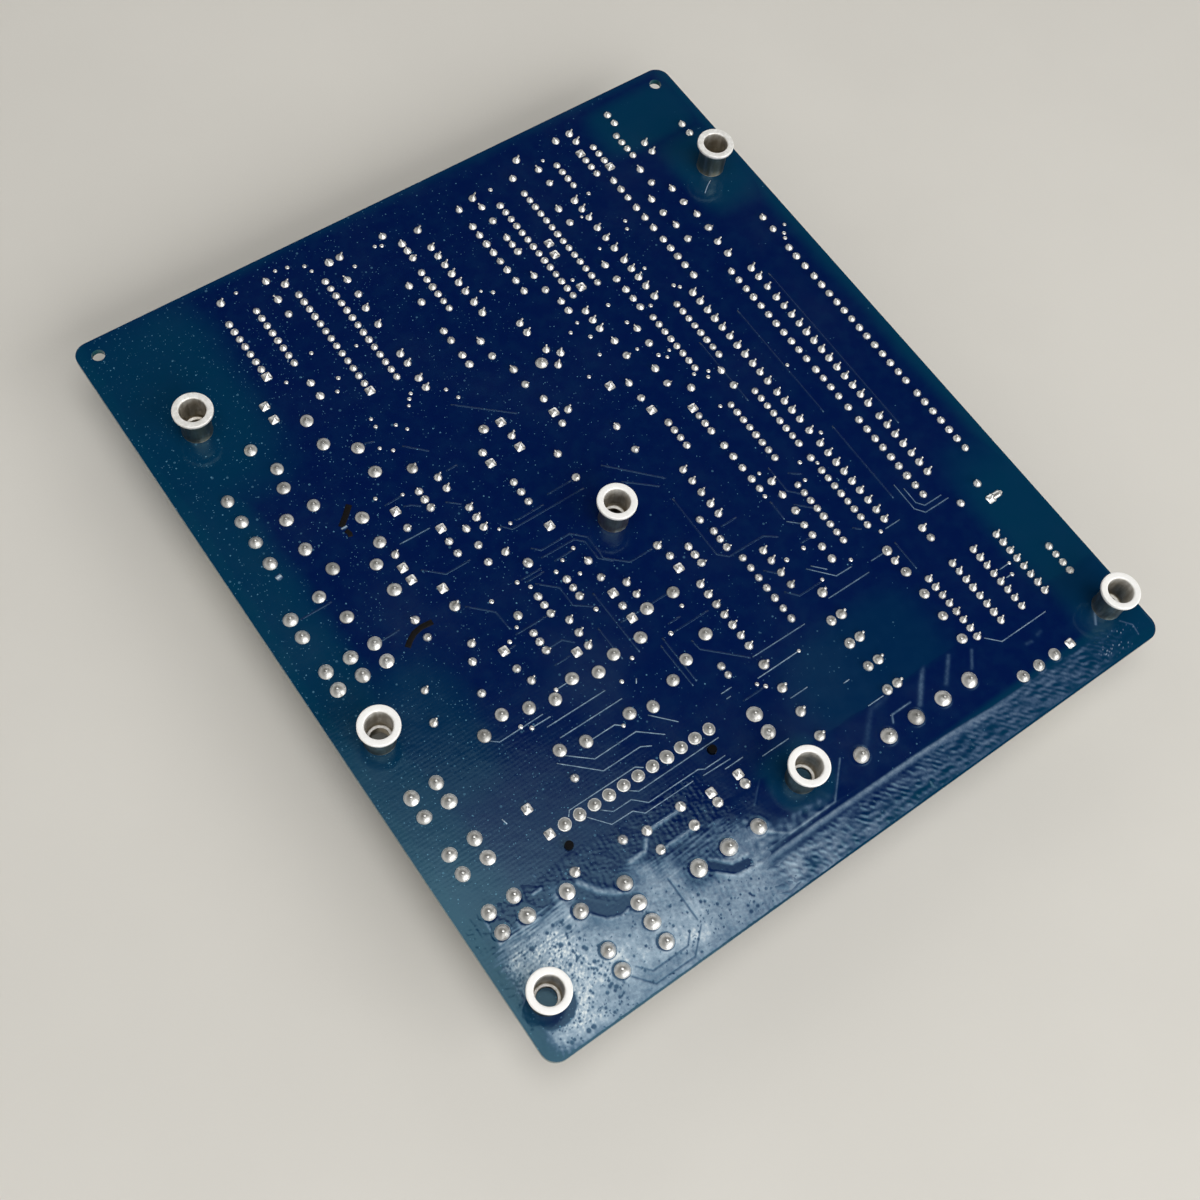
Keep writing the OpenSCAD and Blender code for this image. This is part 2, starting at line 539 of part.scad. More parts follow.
// A dual in-line chip: moulding with drafted sides and a notch at one end, and
// legs that leave at half height, turn down and pass through the board.
module chip(c) {
    p = at([c[0], c[1]]);
    l = c[2] * grid - 0.6;
    mid = [p[0] + row_gap / 2, p[1] - (c[2] - 1) * grid / 2];
    half = chip_w / 2;
    leg_z = chip_gap + chip_h / 2;
    draft = 0.25;
    color([0.1, 0.1, 0.1]) difference() {
        translate([mid[0], mid[1] + l / 2, chip_gap]) rotate([90, 0, 0]) linear_extrude(l)
            polygon([[-half + draft, 0], [half - draft, 0], [half, chip_h / 2],
                [half - draft, chip_h], [-half + draft, chip_h], [-half, chip_h / 2]]);
        translate([mid[0], mid[1] + l / 2, chip_gap + chip_h - 0.6]) cylinder(r = 0.9, h = 1, $fn = 24);
    }
    color([0.75, 0.75, 0.75]) for (i = [0 : c[2] - 1], s = [-1, 1])
        translate([mid[0], p[1] - i * grid, 0]) {
            translate([s * row_gap / 2 - leg_t / 2, -leg_w / 2, -board_t])
                cube([leg_t, leg_w, board_t + leg_z + leg_t / 2]);
            translate([s > 0 ? half - 0.4 : -row_gap / 2 - leg_t / 2, -0.6, leg_z - leg_t / 2])
                cube([row_gap / 2 + leg_t / 2 - half + 0.4, 1.2, leg_t]);
            translate([s * row_gap / 2 - leg_t / 2, -0.6, 0.5])
                cube([leg_t, 1.2, leg_z - 0.5]);
        }
}

module main_controller() { component_side() chip(main_controller_at); }
module second_controller() { component_side() chip(second_controller_at); }
module timer_chip() { component_side() chip(timer_chip_at); }
module driver_chip() { component_side() chip(driver_chip_at); }
module logic_chip_upper() { component_side() chip(logic_upper_at); }
module logic_chip_lower() { component_side() chip(logic_lower_at); }
module display_driver_left() { component_side() chip(display_left_at); }
module display_driver_right() { component_side() chip(display_right_at); }
module memory_chip() { component_side() chip(memory_chip_at); }
module sense_amplifier() { component_side() chip(sense_amplifier_at); }
module comparator() { component_side() chip(comparator_at); }

// A sealed relay: a box with a lip round its foot and four feet under it
module relay_case(l, w) {
    lip = 0.3;
    gap = 0.4;
    color([0.15, 0.3, 0.55]) {
        translate([-l / 2 + lip, -w / 2 + lip, gap]) cube([l - 2 * lip, w - 2 * lip, tall_h - gap]);
        translate([-l / 2, -w / 2, gap]) cube([l, w, 1.6]);
        for (s = [-1, 1], t = [-1, 1]) translate([s * (l / 2 - 1), t * (w / 2 - 1), 0])
            cylinder(r = 0.7, h = gap + 0.1, $fn = 16);
    }
}

module slim_relay(r) {
    component_side() {
        p = at([r[0], r[1]] + turn(slim_centre, r[2]));
        translate(p) rotate(r[2]) relay_case(slim_relay_l, slim_relay_w);
        color([0.75, 0.75, 0.75]) for (q = slim_leads(r)) lead(q, 1, pin_d);
    }
}

module blower_relay() { slim_relay(slim_relays_at[0]); }
module heat_relay() { slim_relay(slim_relays_at[1]); }
module cool_relay() { slim_relay(slim_relays_at[2]); }
module inducer_relay() { slim_relay(slim_relays_at[3]); }
module igniter_relay() { slim_relay(slim_relays_at[4]); }

module cube_relay(i) {
    r = cube_relays_at[i];
    component_side() {
        translate(at(r + [2.36, -1.97])) rotate(90) relay_case(cube_relay_l, cube_relay_w);
        color([0.75, 0.75, 0.75]) for (q = cube_leads(r, i)) lead(q, 1, pin_d);
    }
}

module gas_valve_relay() { cube_relay(0); }
module fan_relay() { cube_relay(1); }

module main_relay() {
    component_side() {
        translate(at(main_relay_centre)) relay_case(main_relay_size[0], main_relay_size[1]);
        color([0.75, 0.75, 0.75]) for (q = main_relay_leads) lead(q, 1, pin_d);
    }
}

// The heat sink: a channel that stands on one edge, with a peg in the board
sink_t = 1.3;
sink_x = at(heat_sink_peg)[0] - sink_t / 2;
sink_y = at(heat_sink_peg)[1];
sink_depth = 11;

module heat_sink() {
    component_side() color([0.15, 0.15, 0.16]) {
        translate([sink_x, sink_y - heat_sink_w / 2, 0.5]) difference() {
            cube([sink_depth, heat_sink_w, tall_h - 0.5]);
            translate([sink_t, sink_t, -1])
                cube([sink_depth, heat_sink_w - 2 * sink_t, tall_h + 2]);
            for (i = [0 : 2]) translate([4 + i * 2.6, -1, 3]) cube([1, heat_sink_w + 2, tall_h]);
        }
        translate([sink_x + sink_t / 2, sink_y, -board_t]) cylinder(d = stout_d, h = board_t + 1, $fn = 16);
    }
}

// The regulator: tab flat against the heat sink, leads in a staggered row
module regulator() {
    tab = [1.3, 10, 15.2];
    body = [3.3, 10, 9];
    foot = 0.6;
    x = sink_x + sink_t;
    z0 = 0.5 + foot;
    component_side() {
        color([0.7, 0.7, 0.7]) difference() {
            translate([x, sink_y - tab[1] / 2, z0]) cube([tab[0], tab[1], tall_h - z0 - 0.5]);
            translate([x - 1, sink_y, tall_h - 3.4]) rotate([0, 90, 0]) cylinder(r = 1.8, h = 4);
        }
        color([0.12, 0.12, 0.12]) translate([x + tab[0], sink_y - body[1] / 2, z0]) cube(body);
        for (q = regulator_leads) color([0.75, 0.75, 0.75]) {
            p = at(q);
            h = z0 + 1;
            lead(q, h, lead_d);
            if (p[0] > x + tab[0] + body[0])
                translate([x + tab[0] + body[0] - 0.5, p[1] - lead_d / 2, h - 0.6])
                    cube([p[0] - x - tab[0] - body[0] + 0.5, lead_d, 0.6]);
        }
    }
}

module tab_outline() {
    shoulder = 2.2;
    polygon([[-tab_w / 2 + 1, tab_h], [tab_w / 2 - 1, tab_h], [tab_w / 2, tab_h - 1.4],
        [tab_w / 2, shoulder], [tab_w / 2 + 0.6, shoulder], [tab_w / 2 + 0.6, 0],
        [-tab_w / 2 - 0.6, 0], [-tab_w / 2 - 0.6, shoulder], [-tab_w / 2, shoulder],
        [-tab_w / 2, tab_h - 1.4]]);
}

module quick_connect_tabs() {
    leg = 1.1;
    component_side() color([0.85, 0.8, 0.6]) for (t = tabs_at) {
        p = at(t);
        translate([p[0] + tab_t / 2, p[1], 0]) rotate([0, 0, 90]) rotate([90, 0, 0])
            translate([0, 0, -tab_t]) linear_extrude(tab_t) difference() {
                union() {
                    tab_outline();
                    for (s = [-1, 1]) translate([s * tab_leg_gap / 2 - leg / 2, -board_t])
                        square([leg, board_t + 1]);
                }
                translate([0, tab_h - 3.6]) circle(d = 1.7, $fn = 24);
            }
    }
}

// An open wafer: a base with a row of pins, a back wall, and pegs where given
module wafer(row, dir, length, near, far, wall_h, pegs = []) {
    a = at(row[0]);
    b = at(row[len(row) - 1]);
    m = (a + b) / 2;
    translate([m[0], m[1], 0]) rotate(dir) difference() {
        union() {
            translate([-length / 2, -near, 0]) cube([length, near + far, 3.2]);
            translate([-length / 2, far - 1.2, 0]) cube([length, 1.2, wall_h]);
        }
        for (q = row) translate([norm(at(q) - a) - norm(b - a) / 2, 0, -1])
            cylinder(d = pin_d + 0.1, h = 6, $fn = 16);
    }
    for (q = pegs) translate([each at(q), -board_t - 1])
        cylinder(d = peg_d, h = board_t + 1.5, $fn = 24);
}

module pins(row, h, d = pin_d) {
    for (q = row) lead(q, h, d);
}

module harness_header() {
    component_side() color([0.9, 0.88, 0.8])
        wafer(harness_row, 0, 12 * harness_pitch, 6, 3.4, 11, harness_pegs);
}
module harness_pins() { component_side() color([0.8, 0.8, 0.7]) pins(harness_row, 12); }
module power_header() {
    component_side() color([0.9, 0.88, 0.8]) wafer(power_row, 90, 3 * power_pitch + 6, 4.4, 4, 10);
}
module power_pins() { component_side() color([0.8, 0.8, 0.7]) pins(power_row, 12, pin_d); }
module sensor_header() {
    component_side() color([0.9, 0.88, 0.8])
        wafer(sensor_row, 0, 3 * sensor_pitch + 5, 4.4, 4, 9);
}
module sensor_pins() { component_side() color([0.8, 0.8, 0.7]) pins(sensor_row, 11); }

// A plain strip of pins in a low black carrier
module pin_strip(row) {
    p = at(row[0]);
    n = len(row);
    component_side() {
        color([0.1, 0.1, 0.1]) translate([p[0] - grid / 2, p[1] - grid / 2, 0])
            cube([grid, n * grid, grid]);
        color([0.8, 0.75, 0.5]) pins(row, 8.5, 0.64);
    }
}
module link_header() { pin_strip(link_row); }
module diagnostic_header() { pin_strip(diagnostic_row); }

// A barrier strip: base, a fin between neighbouring screws and at both ends
fin_t = 1.4;
seat_h = 8.5;

module barrier_strip(row) {
    n = len(row);
    p = at(row[0]);
    x0 = p[0] - terminal_pitch / 2 - fin_t / 2;
    component_side() {
        color([0.1, 0.1, 0.11]) difference() {
            union() {
                translate([x0, p[1] - terminal_depth / 2, 0])
                    cube([n * terminal_pitch + fin_t, terminal_depth, seat_h]);
                for (i = [0 : n]) translate([x0 + i * terminal_pitch, p[1] - terminal_depth / 2, 0])
                    cube([fin_t, terminal_depth, tall_h]);
            }
            for (q = row) translate([each at(q), -1]) cylinder(d = 3.2, h = seat_h + 2, $fn = 24);
        }
    }
}

module thermostat_strip() { barrier_strip(thermostat_row); }
module common_strip() { barrier_strip(common_row); }

// Terminal screws: slotted head over the seat, shank and solder leg in one piece
module terminal_screws() {
    head_r = 3.1;
    head_h = 2.2;
    component_side() color([0.8, 0.8, 0.75]) for (q = concat(thermostat_row, common_row))
        translate([each at(q), 0]) difference() {
            union() {
                translate([0, 0, seat_h]) cylinder(r = head_r, h = head_h);
                translate([0, 0, 0.4]) cylinder(d = 3, h = seat_h, $fn = 24);
                translate([0, 0, -board_t]) cylinder(d = stout_d, h = board_t + 1, $fn = 16);
            }
            translate([-head_r - 1, -0.5, seat_h + head_h - 1]) cube([2 * head_r + 2, 1, 2]);
        }
}

// ---- The model ----

circuit_board();
spacers();
chip_joints();
square_joints();
lead_joints();
power_joints();
relay_joints();
tab_joints();
terminal_joints();
header_joints();
filled_vias();
resistors_right();
resistors_middle();
resistors_left();
power_resistors();
diodes();
disc_capacitors();
film_capacitors();
electrolytic_capacitors();
varistors();
transistors();
status_leds();
resistor_network();
main_controller();
second_controller();
timer_chip();
driver_chip();
logic_chip_upper();
logic_chip_lower();
display_driver_left();
display_driver_right();
memory_chip();
sense_amplifier();
comparator();
blower_relay();
heat_relay();
cool_relay();
inducer_relay();
igniter_relay();
gas_valve_relay();
fan_relay();
main_relay();
regulator();
heat_sink();
quick_connect_tabs();
harness_header();
harness_pins();
power_header();
power_pins();
sensor_header();
sensor_pins();
link_header();
diagnostic_header();
thermostat_strip();
common_strip();
terminal_screws();
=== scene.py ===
import math

import bpy
import numpy as np
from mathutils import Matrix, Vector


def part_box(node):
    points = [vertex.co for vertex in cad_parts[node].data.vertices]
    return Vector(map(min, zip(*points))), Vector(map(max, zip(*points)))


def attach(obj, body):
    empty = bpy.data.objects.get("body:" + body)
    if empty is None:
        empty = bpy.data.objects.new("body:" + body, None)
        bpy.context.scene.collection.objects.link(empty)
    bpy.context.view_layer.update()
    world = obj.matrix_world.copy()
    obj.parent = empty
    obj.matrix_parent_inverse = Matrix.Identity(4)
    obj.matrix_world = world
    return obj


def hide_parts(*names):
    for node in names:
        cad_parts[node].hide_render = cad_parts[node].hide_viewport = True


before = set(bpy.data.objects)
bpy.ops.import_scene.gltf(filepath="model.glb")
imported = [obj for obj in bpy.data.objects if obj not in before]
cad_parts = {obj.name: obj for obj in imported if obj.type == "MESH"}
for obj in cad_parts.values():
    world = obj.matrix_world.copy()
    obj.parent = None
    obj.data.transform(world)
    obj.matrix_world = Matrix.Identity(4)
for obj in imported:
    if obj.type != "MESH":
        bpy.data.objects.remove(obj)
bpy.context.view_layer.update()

mm = 0.001
inch = 0.0254
boardLow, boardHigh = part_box("circuit_board")
boardCorner = np.array([boardLow.x, boardLow.y])
maskTop = boardHigh.z          # the solder side
boardUnder = boardLow.z        # the component side
scene = bpy.context.scene
rng = np.random.default_rng(11)

view = {
    "place": (-0.13417, -0.12593, 0.34268),
    "turn": (24.835, -5.707, -35.560),      # degrees
    "lens": 46.727,
    "sensor": 36,
}

camera = bpy.data.objects.new("camera", bpy.data.cameras.new("camera"))
camera.data.lens = view["lens"]
camera.data.sensor_width = view["sensor"]
camera.data.clip_start = 0.01
camera.data.clip_end = 20
camera.location = view["place"]
camera.rotation_euler = [math.radians(a) for a in view["turn"]]
scene.collection.objects.link(camera)
scene.camera = camera

studio = {
    "overhead": {"at": (-0.16, -0.22, 1.5), "aim": (-0.16, -0.22, 0), "size": (1.18, 1.18), "power": 5.7},
    "overheadWide": {"at": (-0.16, -0.22, 1.55), "aim": (-0.16, -0.22, 0), "size": (1.46, 1.46),
                     "power": 4.4},
    "behind": {"at": (0.30, -1.50, 0.95), "aim": (0, 0, 0), "size": (2.2, 1.1), "power": 25.0},
    "far": {"at": (1.4, 1.4, 0.9), "aim": (0, 0, 0), "size": (1.3, 0.7), "power": 3.0},
}
# the height at which the walls start to darken and where they are darkest, with the brightness there
room = {"horizon": (0.45, 0.63), "zenith": (0.74, 0.012), "colour": (1.0, 0.985, 0.95, 1)}


def addPanel(name, at, aim, size, power):
    light = bpy.data.lights.new(name, "AREA")
    light.shape = "ELLIPSE" if name.startswith("overhead") else "RECTANGLE"
    light.size, light.size_y = size
    light.energy = power
    panel = bpy.data.objects.new(name, light)
    panel.location = at
    back = np.array(at) - np.array(aim)
    back = back / np.linalg.norm(back)
    panel.rotation_euler = (math.acos(back[2]), 0, math.atan2(back[0], -back[1]))
    scene.collection.objects.link(panel)


def makeRoom():
    # pale walls that darken towards the ceiling, which the glossy board mirrors
    world = bpy.data.worlds.new("room")
    scene.world = world
    world.use_nodes = True
    tree = world.node_tree
    direction = tree.nodes.new("ShaderNodeTexCoord").outputs["Generated"]
    height = tree.nodes.new("ShaderNodeSeparateXYZ")
    tree.links.new(direction, height.inputs[0])
    fade = tree.nodes.new("ShaderNodeMapRange")
    fade.interpolation_type = "SMOOTHSTEP"
    for end, key in (("Min", "horizon"), ("Max", "zenith")):
        for side, value in zip(("From ", "To "), room[key]):
            fade.inputs[side + end].default_value = value
    tree.links.new(height.outputs[2], fade.inputs["Value"])
    background = tree.nodes["Background"]
    background.inputs["Color"].default_value = room["colour"]
    tree.links.new(fade.outputs[0], background.inputs["Strength"])


for panelName, panelValues in studio.items():
    addPanel(panelName, **panelValues)
makeRoom()
scene.view_settings.view_transform = "Standard"
scene.view_settings.look = "None"
print("camera and light ready")


class Paint:
    # one material with short calls that add nodes to it; every value is a number or an output

    def __init__(self, name, **values):
        self.material = bpy.data.materials.new(name)
        self.material.use_nodes = True
        self.tree = self.material.node_tree
        self.shader = self.tree.nodes["Principled BSDF"]
        for key, value in values.items():
            self.shader.inputs[key.replace("_", " ")].default_value = value
        self.point = self.node("ShaderNodeTexCoord").outputs["Object"]

    def node(self, kind, values=None, **settings):
        added = self.tree.nodes.new(kind)
        for key, value in settings.items():
            setattr(added, key, value)
        for key, value in (values or {}).items():
            if isinstance(value, bpy.types.NodeSocket):
                self.tree.links.new(value, added.inputs[key])
            else:
                added.inputs[key].default_value = value
        return added

    def calc(self, operation, first, second=0.0, third=0.0, **settings):
        values = {0: first, 1: second, 2: third}
        return self.node("ShaderNodeMath", values, operation=operation, **settings).outputs[0]

    def times(self, first, second):
        return self.calc("MULTIPLY", first, second)

    def scaled(self, value, factor, more):
        # value * factor + more
        return self.calc("MULTIPLY_ADD", value, factor, more)

    def split(self, vector=None):
        return self.node("ShaderNodeSeparateXYZ", {0: vector or self.point}).outputs

    def stretched(self, factors, centre=(0, 0, 0)):
        moved = [-c * f for c, f in zip(centre, factors)]
        values = {"Vector": self.point, "Scale": factors, "Location": moved}
        return self.node("ShaderNodeMapping", values).outputs[0]

    def noise(self, perMetre, detail=3.0, roughness=0.55, point=None):
        values = {"Vector": point or self.point, "Scale": perMetre}
        values.update({"Detail": detail, "Roughness": roughness})
        return self.node("ShaderNodeTexNoise", values).outputs["Fac"]

    def ramp(self, value, low, high, start=0.0, end=1.0):
        # value from low to high becomes start to end along an s curve
        values = {"Value": value, "From Min": low, "From Max": high, "To Min": start, "To Max": end}
        return self.node("ShaderNodeMapRange", values, interpolation_type="SMOOTHSTEP").outputs[0]

    def blend(self, share, *colours):
        first, second = [(*c, 1) if isinstance(c, tuple) else c for c in colours]
        return self.node("ShaderNodeMix", {0: share, 6: first, 7: second}, data_type="RGBA").outputs[2]

    def attribute(self, name, output="Fac"):
        return self.node("ShaderNodeAttribute", attribute_name=name).outputs[output]

    def put(self, socketName, output):
        self.tree.links.new(output, self.shader.inputs[socketName])

    def bump(self, height, depth):
        self.put("Normal", self.node("ShaderNodeBump", {"Height": height, "Distance": depth}).outputs[0])


maskFinish = {
    "copper": (0.0005, 0.0075, 0.0600),     # over the copper
    "bare": (0.0005, 0.0330, 0.0760),       # where there is no copper
    "tint": (0.004, 0.030, 0.085),
    "edgeGlass": (0.010, 0.075, 0.095),     # the sawn edge
    "dust": (0.13, 0.33, 0.48),
    "border": (3.0 * mm, 9.0 * mm),         # where the bare border ends
    "shine": (0.50, 0.90, 1.0, 1),
    # dried flux with painted sheen, thin to thick: the range of the pale film over which each colour comes
    # in
    "flux": (((0.0, 0.26), (0.022, 0.064, 0.145)), ((0.06, 0.75), (0.34, 0.43, 0.525)),
             ((0.60, 1.0), (0.74, 0.79, 0.80))),
    "specks": ((600, 0.15), (1100, 0.18), (1900, 0.22)),     # cells per metre and largest radius
    "weave": (("Y", 330.0, 1.0), ("X", 300.0, 0.4)),         # direction, threads, height
}

# soft boxes with no copper under the mask: centre and half sizes in inches, and how bare
bareSpots = [
    ((0.35, 6.95), (1.05, 1.40), 0.85), ((0.10, 4.0), (0.56, 3.9), 0.80),
    ((0.50, 2.90), (0.80, 0.85), 0.55), ((3.21, 0.78), (0.40, 0.40), 0.70),
    ((4.40, 1.30), (0.95, 0.60), 0.42), ((6.64, 6.60), (0.45, 0.65), 0.85),
    ((6.40, 7.50), (0.70, 0.42), 0.85), ((6.80, 1.15), (0.62, 1.60), 0.85),
    ((5.90, 0.28), (2.0, 0.42), 0.85),
]


def bareShare(paint, x, y, cloud):
    # 1 on the border and in the soft boxes; the copper comes nearer to the far and right edges
    inset = []
    for place, half, nearer in ((x, boardHigh.x, 0.022), (y, boardHigh.y, 0.040)):
        fromEdge = paint.calc("SUBTRACT", half, paint.calc("ABSOLUTE", place))
        inset.append(paint.scaled(paint.calc("MAXIMUM", place, 0.0), nearer, fromEdge))
    fromEdge = paint.scaled(cloud, 3 * mm, paint.calc("MINIMUM", *inset))
    bare = paint.ramp(fromEdge, *maskFinish["border"], 1.0, 0.0)
    uneven = paint.scaled(cloud, 0.5, -0.25)
    for centre, half, share in bareSpots:
        place = (*(boardCorner + np.multiply(centre, inch)), 0)
        local = paint.stretched((1 / (half[0] * inch), 1 / (half[1] * inch), 0), place)
        square = paint.node("ShaderNodeVectorMath", {0: local, 1: local}, operation="MULTIPLY").outputs[0]
        reach = paint.node("ShaderNodeVectorMath", {0: square}, operation="LENGTH").outputs["Value"]
        reach = paint.calc("ADD", reach, uneven)
        bare = paint.calc("MAXIMUM", bare, paint.ramp(reach, 0.30, 1.05, share, 0.0))
    return bare


def dusted(paint, colour, x, y, cloud):
    # small cells of three sizes, thinned by a cloud that is denser to the left and far side
    crowd = paint.scaled(y, 1.0, paint.scaled(x, -4.4, 0.28))
    crowd = paint.calc("ADD", crowd, paint.calc("SUBTRACT", cloud, 0.5))
    for cellsPerMetre, size in maskFinish["specks"]:
        cell = paint.node("ShaderNodeTexVoronoi", {"Vector": paint.point, "Scale": cellsPerMetre}).outputs
        pick = paint.node("ShaderNodeSeparateColor", {0: cell["Color"]}).outputs
        here = paint.calc("LESS_THAN", pick[0], paint.times(crowd, 0.44))
        beyond = paint.calc("SUBTRACT", cell["Distance"], paint.scaled(pick[1], size, 0.03))
        speck = paint.times(paint.ramp(beyond, 0.0, 0.035, 1.0, 0.0), here)
        share = paint.times(speck, paint.scaled(pick[2], 0.55, 0.06))
        colour = paint.blend(share, colour, maskFinish["dust"])
    return colour


def maskMaterial(name, painted):
    # glossy solder mask: navy over copper and teal elsewhere, with dust, a glass weave and fine ripple
    paint = Paint(name, Specular_Tint=maskFinish["shine"], IOR=1.5)
    x, y, _ = paint.split()
    cloud = paint.noise(60, 4)
    bare = bareShare(paint, x, y, cloud)
    if painted:
        bare = paint.times(bare, paint.calc("SUBTRACT", 1.0, paint.attribute("copper")))
    colour = paint.blend(bare, maskFinish["copper"], maskFinish["bare"])
    tint = paint.ramp(paint.noise(300, 5), 0.35, 0.75, 0.0, 0.22)
    colour = dusted(paint, paint.blend(tint, colour, maskFinish["tint"]), x, y, cloud)
    rough = paint.ramp(paint.noise(45, 5), 0.35, 0.75, 0.10, 0.24)
    # the painted mask lays dried flux over it, whose pale colours also paint sheen and highlights on the
    # relief
    if painted:
        grain = paint.ramp(paint.noise(900, 4, 0.7), 0.30, 0.70, 0.75, 1.15)
        film = paint.calc("MULTIPLY", paint.attribute("film"), grain, use_clamp=True)
        for limits, fluxColour in maskFinish["flux"]:
            colour = paint.blend(paint.ramp(film, *limits), colour, fluxColour)
        rough = paint.scaled(film, 0.26, rough)
    normal = paint.node("ShaderNodeNewGeometry").outputs["Normal"]
    upright = paint.calc("ABSOLUTE", paint.split(normal)[2])
    sawn = paint.ramp(upright, 0.3, 0.6, 1.0, 0.0)
    paint.put("Base Color", paint.blend(sawn, colour, maskFinish["edgeGlass"]))
    paint.put("Roughness", rough)
    weave = 0.0
    for direction, threads, share in maskFinish["weave"]:
        values = {"Vector": paint.point, "Scale": threads}
        values.update({"Distortion": 1.0, "Detail": 1.0, "Detail Scale": 2.0})
        wave = paint.node("ShaderNodeTexWave", values, bands_direction=direction).outputs["Fac"]
        weave = paint.scaled(wave, share, weave)
    height = paint.scaled(paint.noise(130, 3), 8.0, paint.times(weave, 0.35))
    paint.bump(paint.scaled(paint.noise(700, 3), 1.2, height), 0.006 * mm)
    return paint.material


solderFinish = {"bright": (0.92, 0.915, 0.89), "darkTin": (0.16, 0.155, 0.14), "roughness": (0.30, 0.28)}


def solderMaterial():
    # bright tin with cloudy darker places; the tone attribute says how bright each joint is, and paints
    # shade towards each lead and a highlight on its cut end
    paint = Paint("tinSolder", Metallic=1.0)
    shade = paint.times(paint.attribute("tone"), paint.ramp(paint.noise(1400, 4, 0.6), 0.3, 0.7, 0.90, 1.0))
    paint.put("Base Color", paint.blend(shade, solderFinish["darkTin"], solderFinish["bright"]))
    low, high = solderFinish["roughness"]
    paint.put("Roughness", paint.scaled(paint.calc("SUBTRACT", 1.0, shade), high, low))
    paint.bump(paint.noise(1500, 2), 0.004 * mm)
    return paint.material


maskPlain = maskMaterial("solderMask", False)
maskPainted = maskMaterial("solderMaskFluxSheen", True)
tinSolder = solderMaterial()


def ridedPiece(name, points, faceGroups, material, slotName, sharpAngle=None, **perPoint):
    # one mesh from an array of points and arrays of faces; perPoint arrays become attributes
    mesh = bpy.data.meshes.new(name)
    sizes = np.concatenate([np.full(len(f), f.shape[1]) for f in faceGroups])
    corners = np.concatenate([f.ravel() for f in faceGroups])
    mesh.vertices.add(len(points))
    mesh.loops.add(len(corners))
    mesh.polygons.add(len(sizes))
    mesh.vertices.foreach_set("co", np.asarray(points, np.float32).ravel())
    mesh.loops.foreach_set("vertex_index", corners.astype(np.int32))
    starts = np.concatenate([[0], np.cumsum(sizes)[:-1]])
    mesh.polygons.foreach_set("loop_start", starts.astype(np.int32))
    mesh.polygons.foreach_set("use_smooth", np.full(len(sizes), True))
    for key, values in perPoint.items():
        layer = mesh.attributes.new(key, "FLOAT", "POINT")
        layer.data.foreach_set("value", np.asarray(values, np.float32).ravel())
    mesh.update(calc_edges=True)
    mesh.validate()
    if sharpAngle:
        mesh.set_sharp_from_angle(angle=math.radians(sharpAngle))
    mesh.materials.append(material)
    piece = bpy.data.objects.new(name, mesh)
    scene.collection.objects.link(piece)
    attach(piece, "root")
    return piece


def ringFaces(copies, rings, segments):
    # quads between neighbouring rings of every copy, and one face over each end
    first = np.arange(copies)[:, None, None] * rings * segments
    ring = np.arange(rings - 1)[None, :, None] * segments
    turn = np.arange(segments)[None, None, :]
    a = first + ring + turn
    b = first + ring + (turn + 1) % segments
    sides = np.stack([a, b, b + segments, a + segments], -1).reshape(-1, 4)
    base = first[:, 0] + np.arange(segments)[::-1]
    top = first[:, 0] + (rings - 1) * segments + np.arange(segments)
    return [sides, base, top]


def turns(segments, phase=0.0):
    return 2 * math.pi * (np.arange(segments) + phase) / segments


def turned(centres, radius, level, angle, shift=0.0):
    # rings round each centre: place = centre + shift + radius * (cos a, sin a), level over the mask;
    # radius, level and shift are in mm
    direction = np.stack([np.cos(angle), np.sin(angle)], -1)
    flat = centres[:, None, None] + mm * (radius[..., None] * direction + shift)
    up = np.broadcast_to(maskTop + mm * level[..., None], flat.shape[:3])
    return np.concatenate([flat, up[..., None]], -1).reshape(-1, 3)


def nodePoints(node):
    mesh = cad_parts[node].data
    points = np.empty(len(mesh.vertices) * 3, np.float32)
    mesh.vertices.foreach_get("co", points)
    return points.reshape(-1, 3).astype(float)


def groupCentres(points, reach):
    # takes the points nearer than reach to the first one as a group, and goes on with the rest
    left, found = points[:, :2], []
    while len(left):
        near = np.linalg.norm(left - left[0], axis=1) < reach
        found.append((left[near].min(0) + left[near].max(0)) / 2)
        left = left[~near]
    return np.array(sorted(map(tuple, found)))


def leadEnds(node):
    # middles of the round ends where a part's leads meet the solder
    points = nodePoints(node)
    level = min(points[:, 2].max(), maskTop)
    return groupCentres(points[np.abs(points[:, 2] - level) < 0.01 * mm], 1.2 * mm)


def jointCentres(node, above=0.7, reach=1.45):
    points = nodePoints(node)
    return groupCentres(points[points[:, 2] > maskTop + above * mm], reach * mm)


def rowOrder(places, along, across):
    # along one row after another; places less than 0.25 mm apart across are in one row
    return np.lexsort((places[:, along], np.round(places[:, across] / (0.25 * mm))))


# radius, height, lead radius, its rise over the fillet, and the pad that shows round the foot (mm);
# reach is how far apart the points of one CAD joint lie at most
jointKinds = {
    "chip_joints": {"radius": 1.00, "height": 0.78, "lead": 0.27, "rise": 0.16, "segments": 10},
    "lead_joints": {"radius": 1.05, "height": 0.80, "lead": 0.27, "rise": 0.60, "segments": 10},
    "power_joints": {"radius": 1.30, "height": 0.85, "lead": 0.40, "rise": 0.60, "segments": 16},
    "relay_joints": {"radius": 1.60, "height": 0.95, "lead": 0.30, "rise": 0.16, "segments": 24},
    "tab_joints": {"radius": 1.66, "height": 1.00, "lead": 0.38, "rise": 0.28, "segments": 24,
                   "pad": 0.10, "reach": 1.9},
    "terminal_joints": {"radius": 1.84, "height": 1.15, "lead": 0.36, "rise": 0.36, "segments": 28,
                        "pad": 0.10, "reach": 2.3},
    "header_joints": {"radius": 1.28, "height": 0.85, "lead": 0.33, "rise": 0.40, "segments": 24,
                      "pad": 0.24},
}
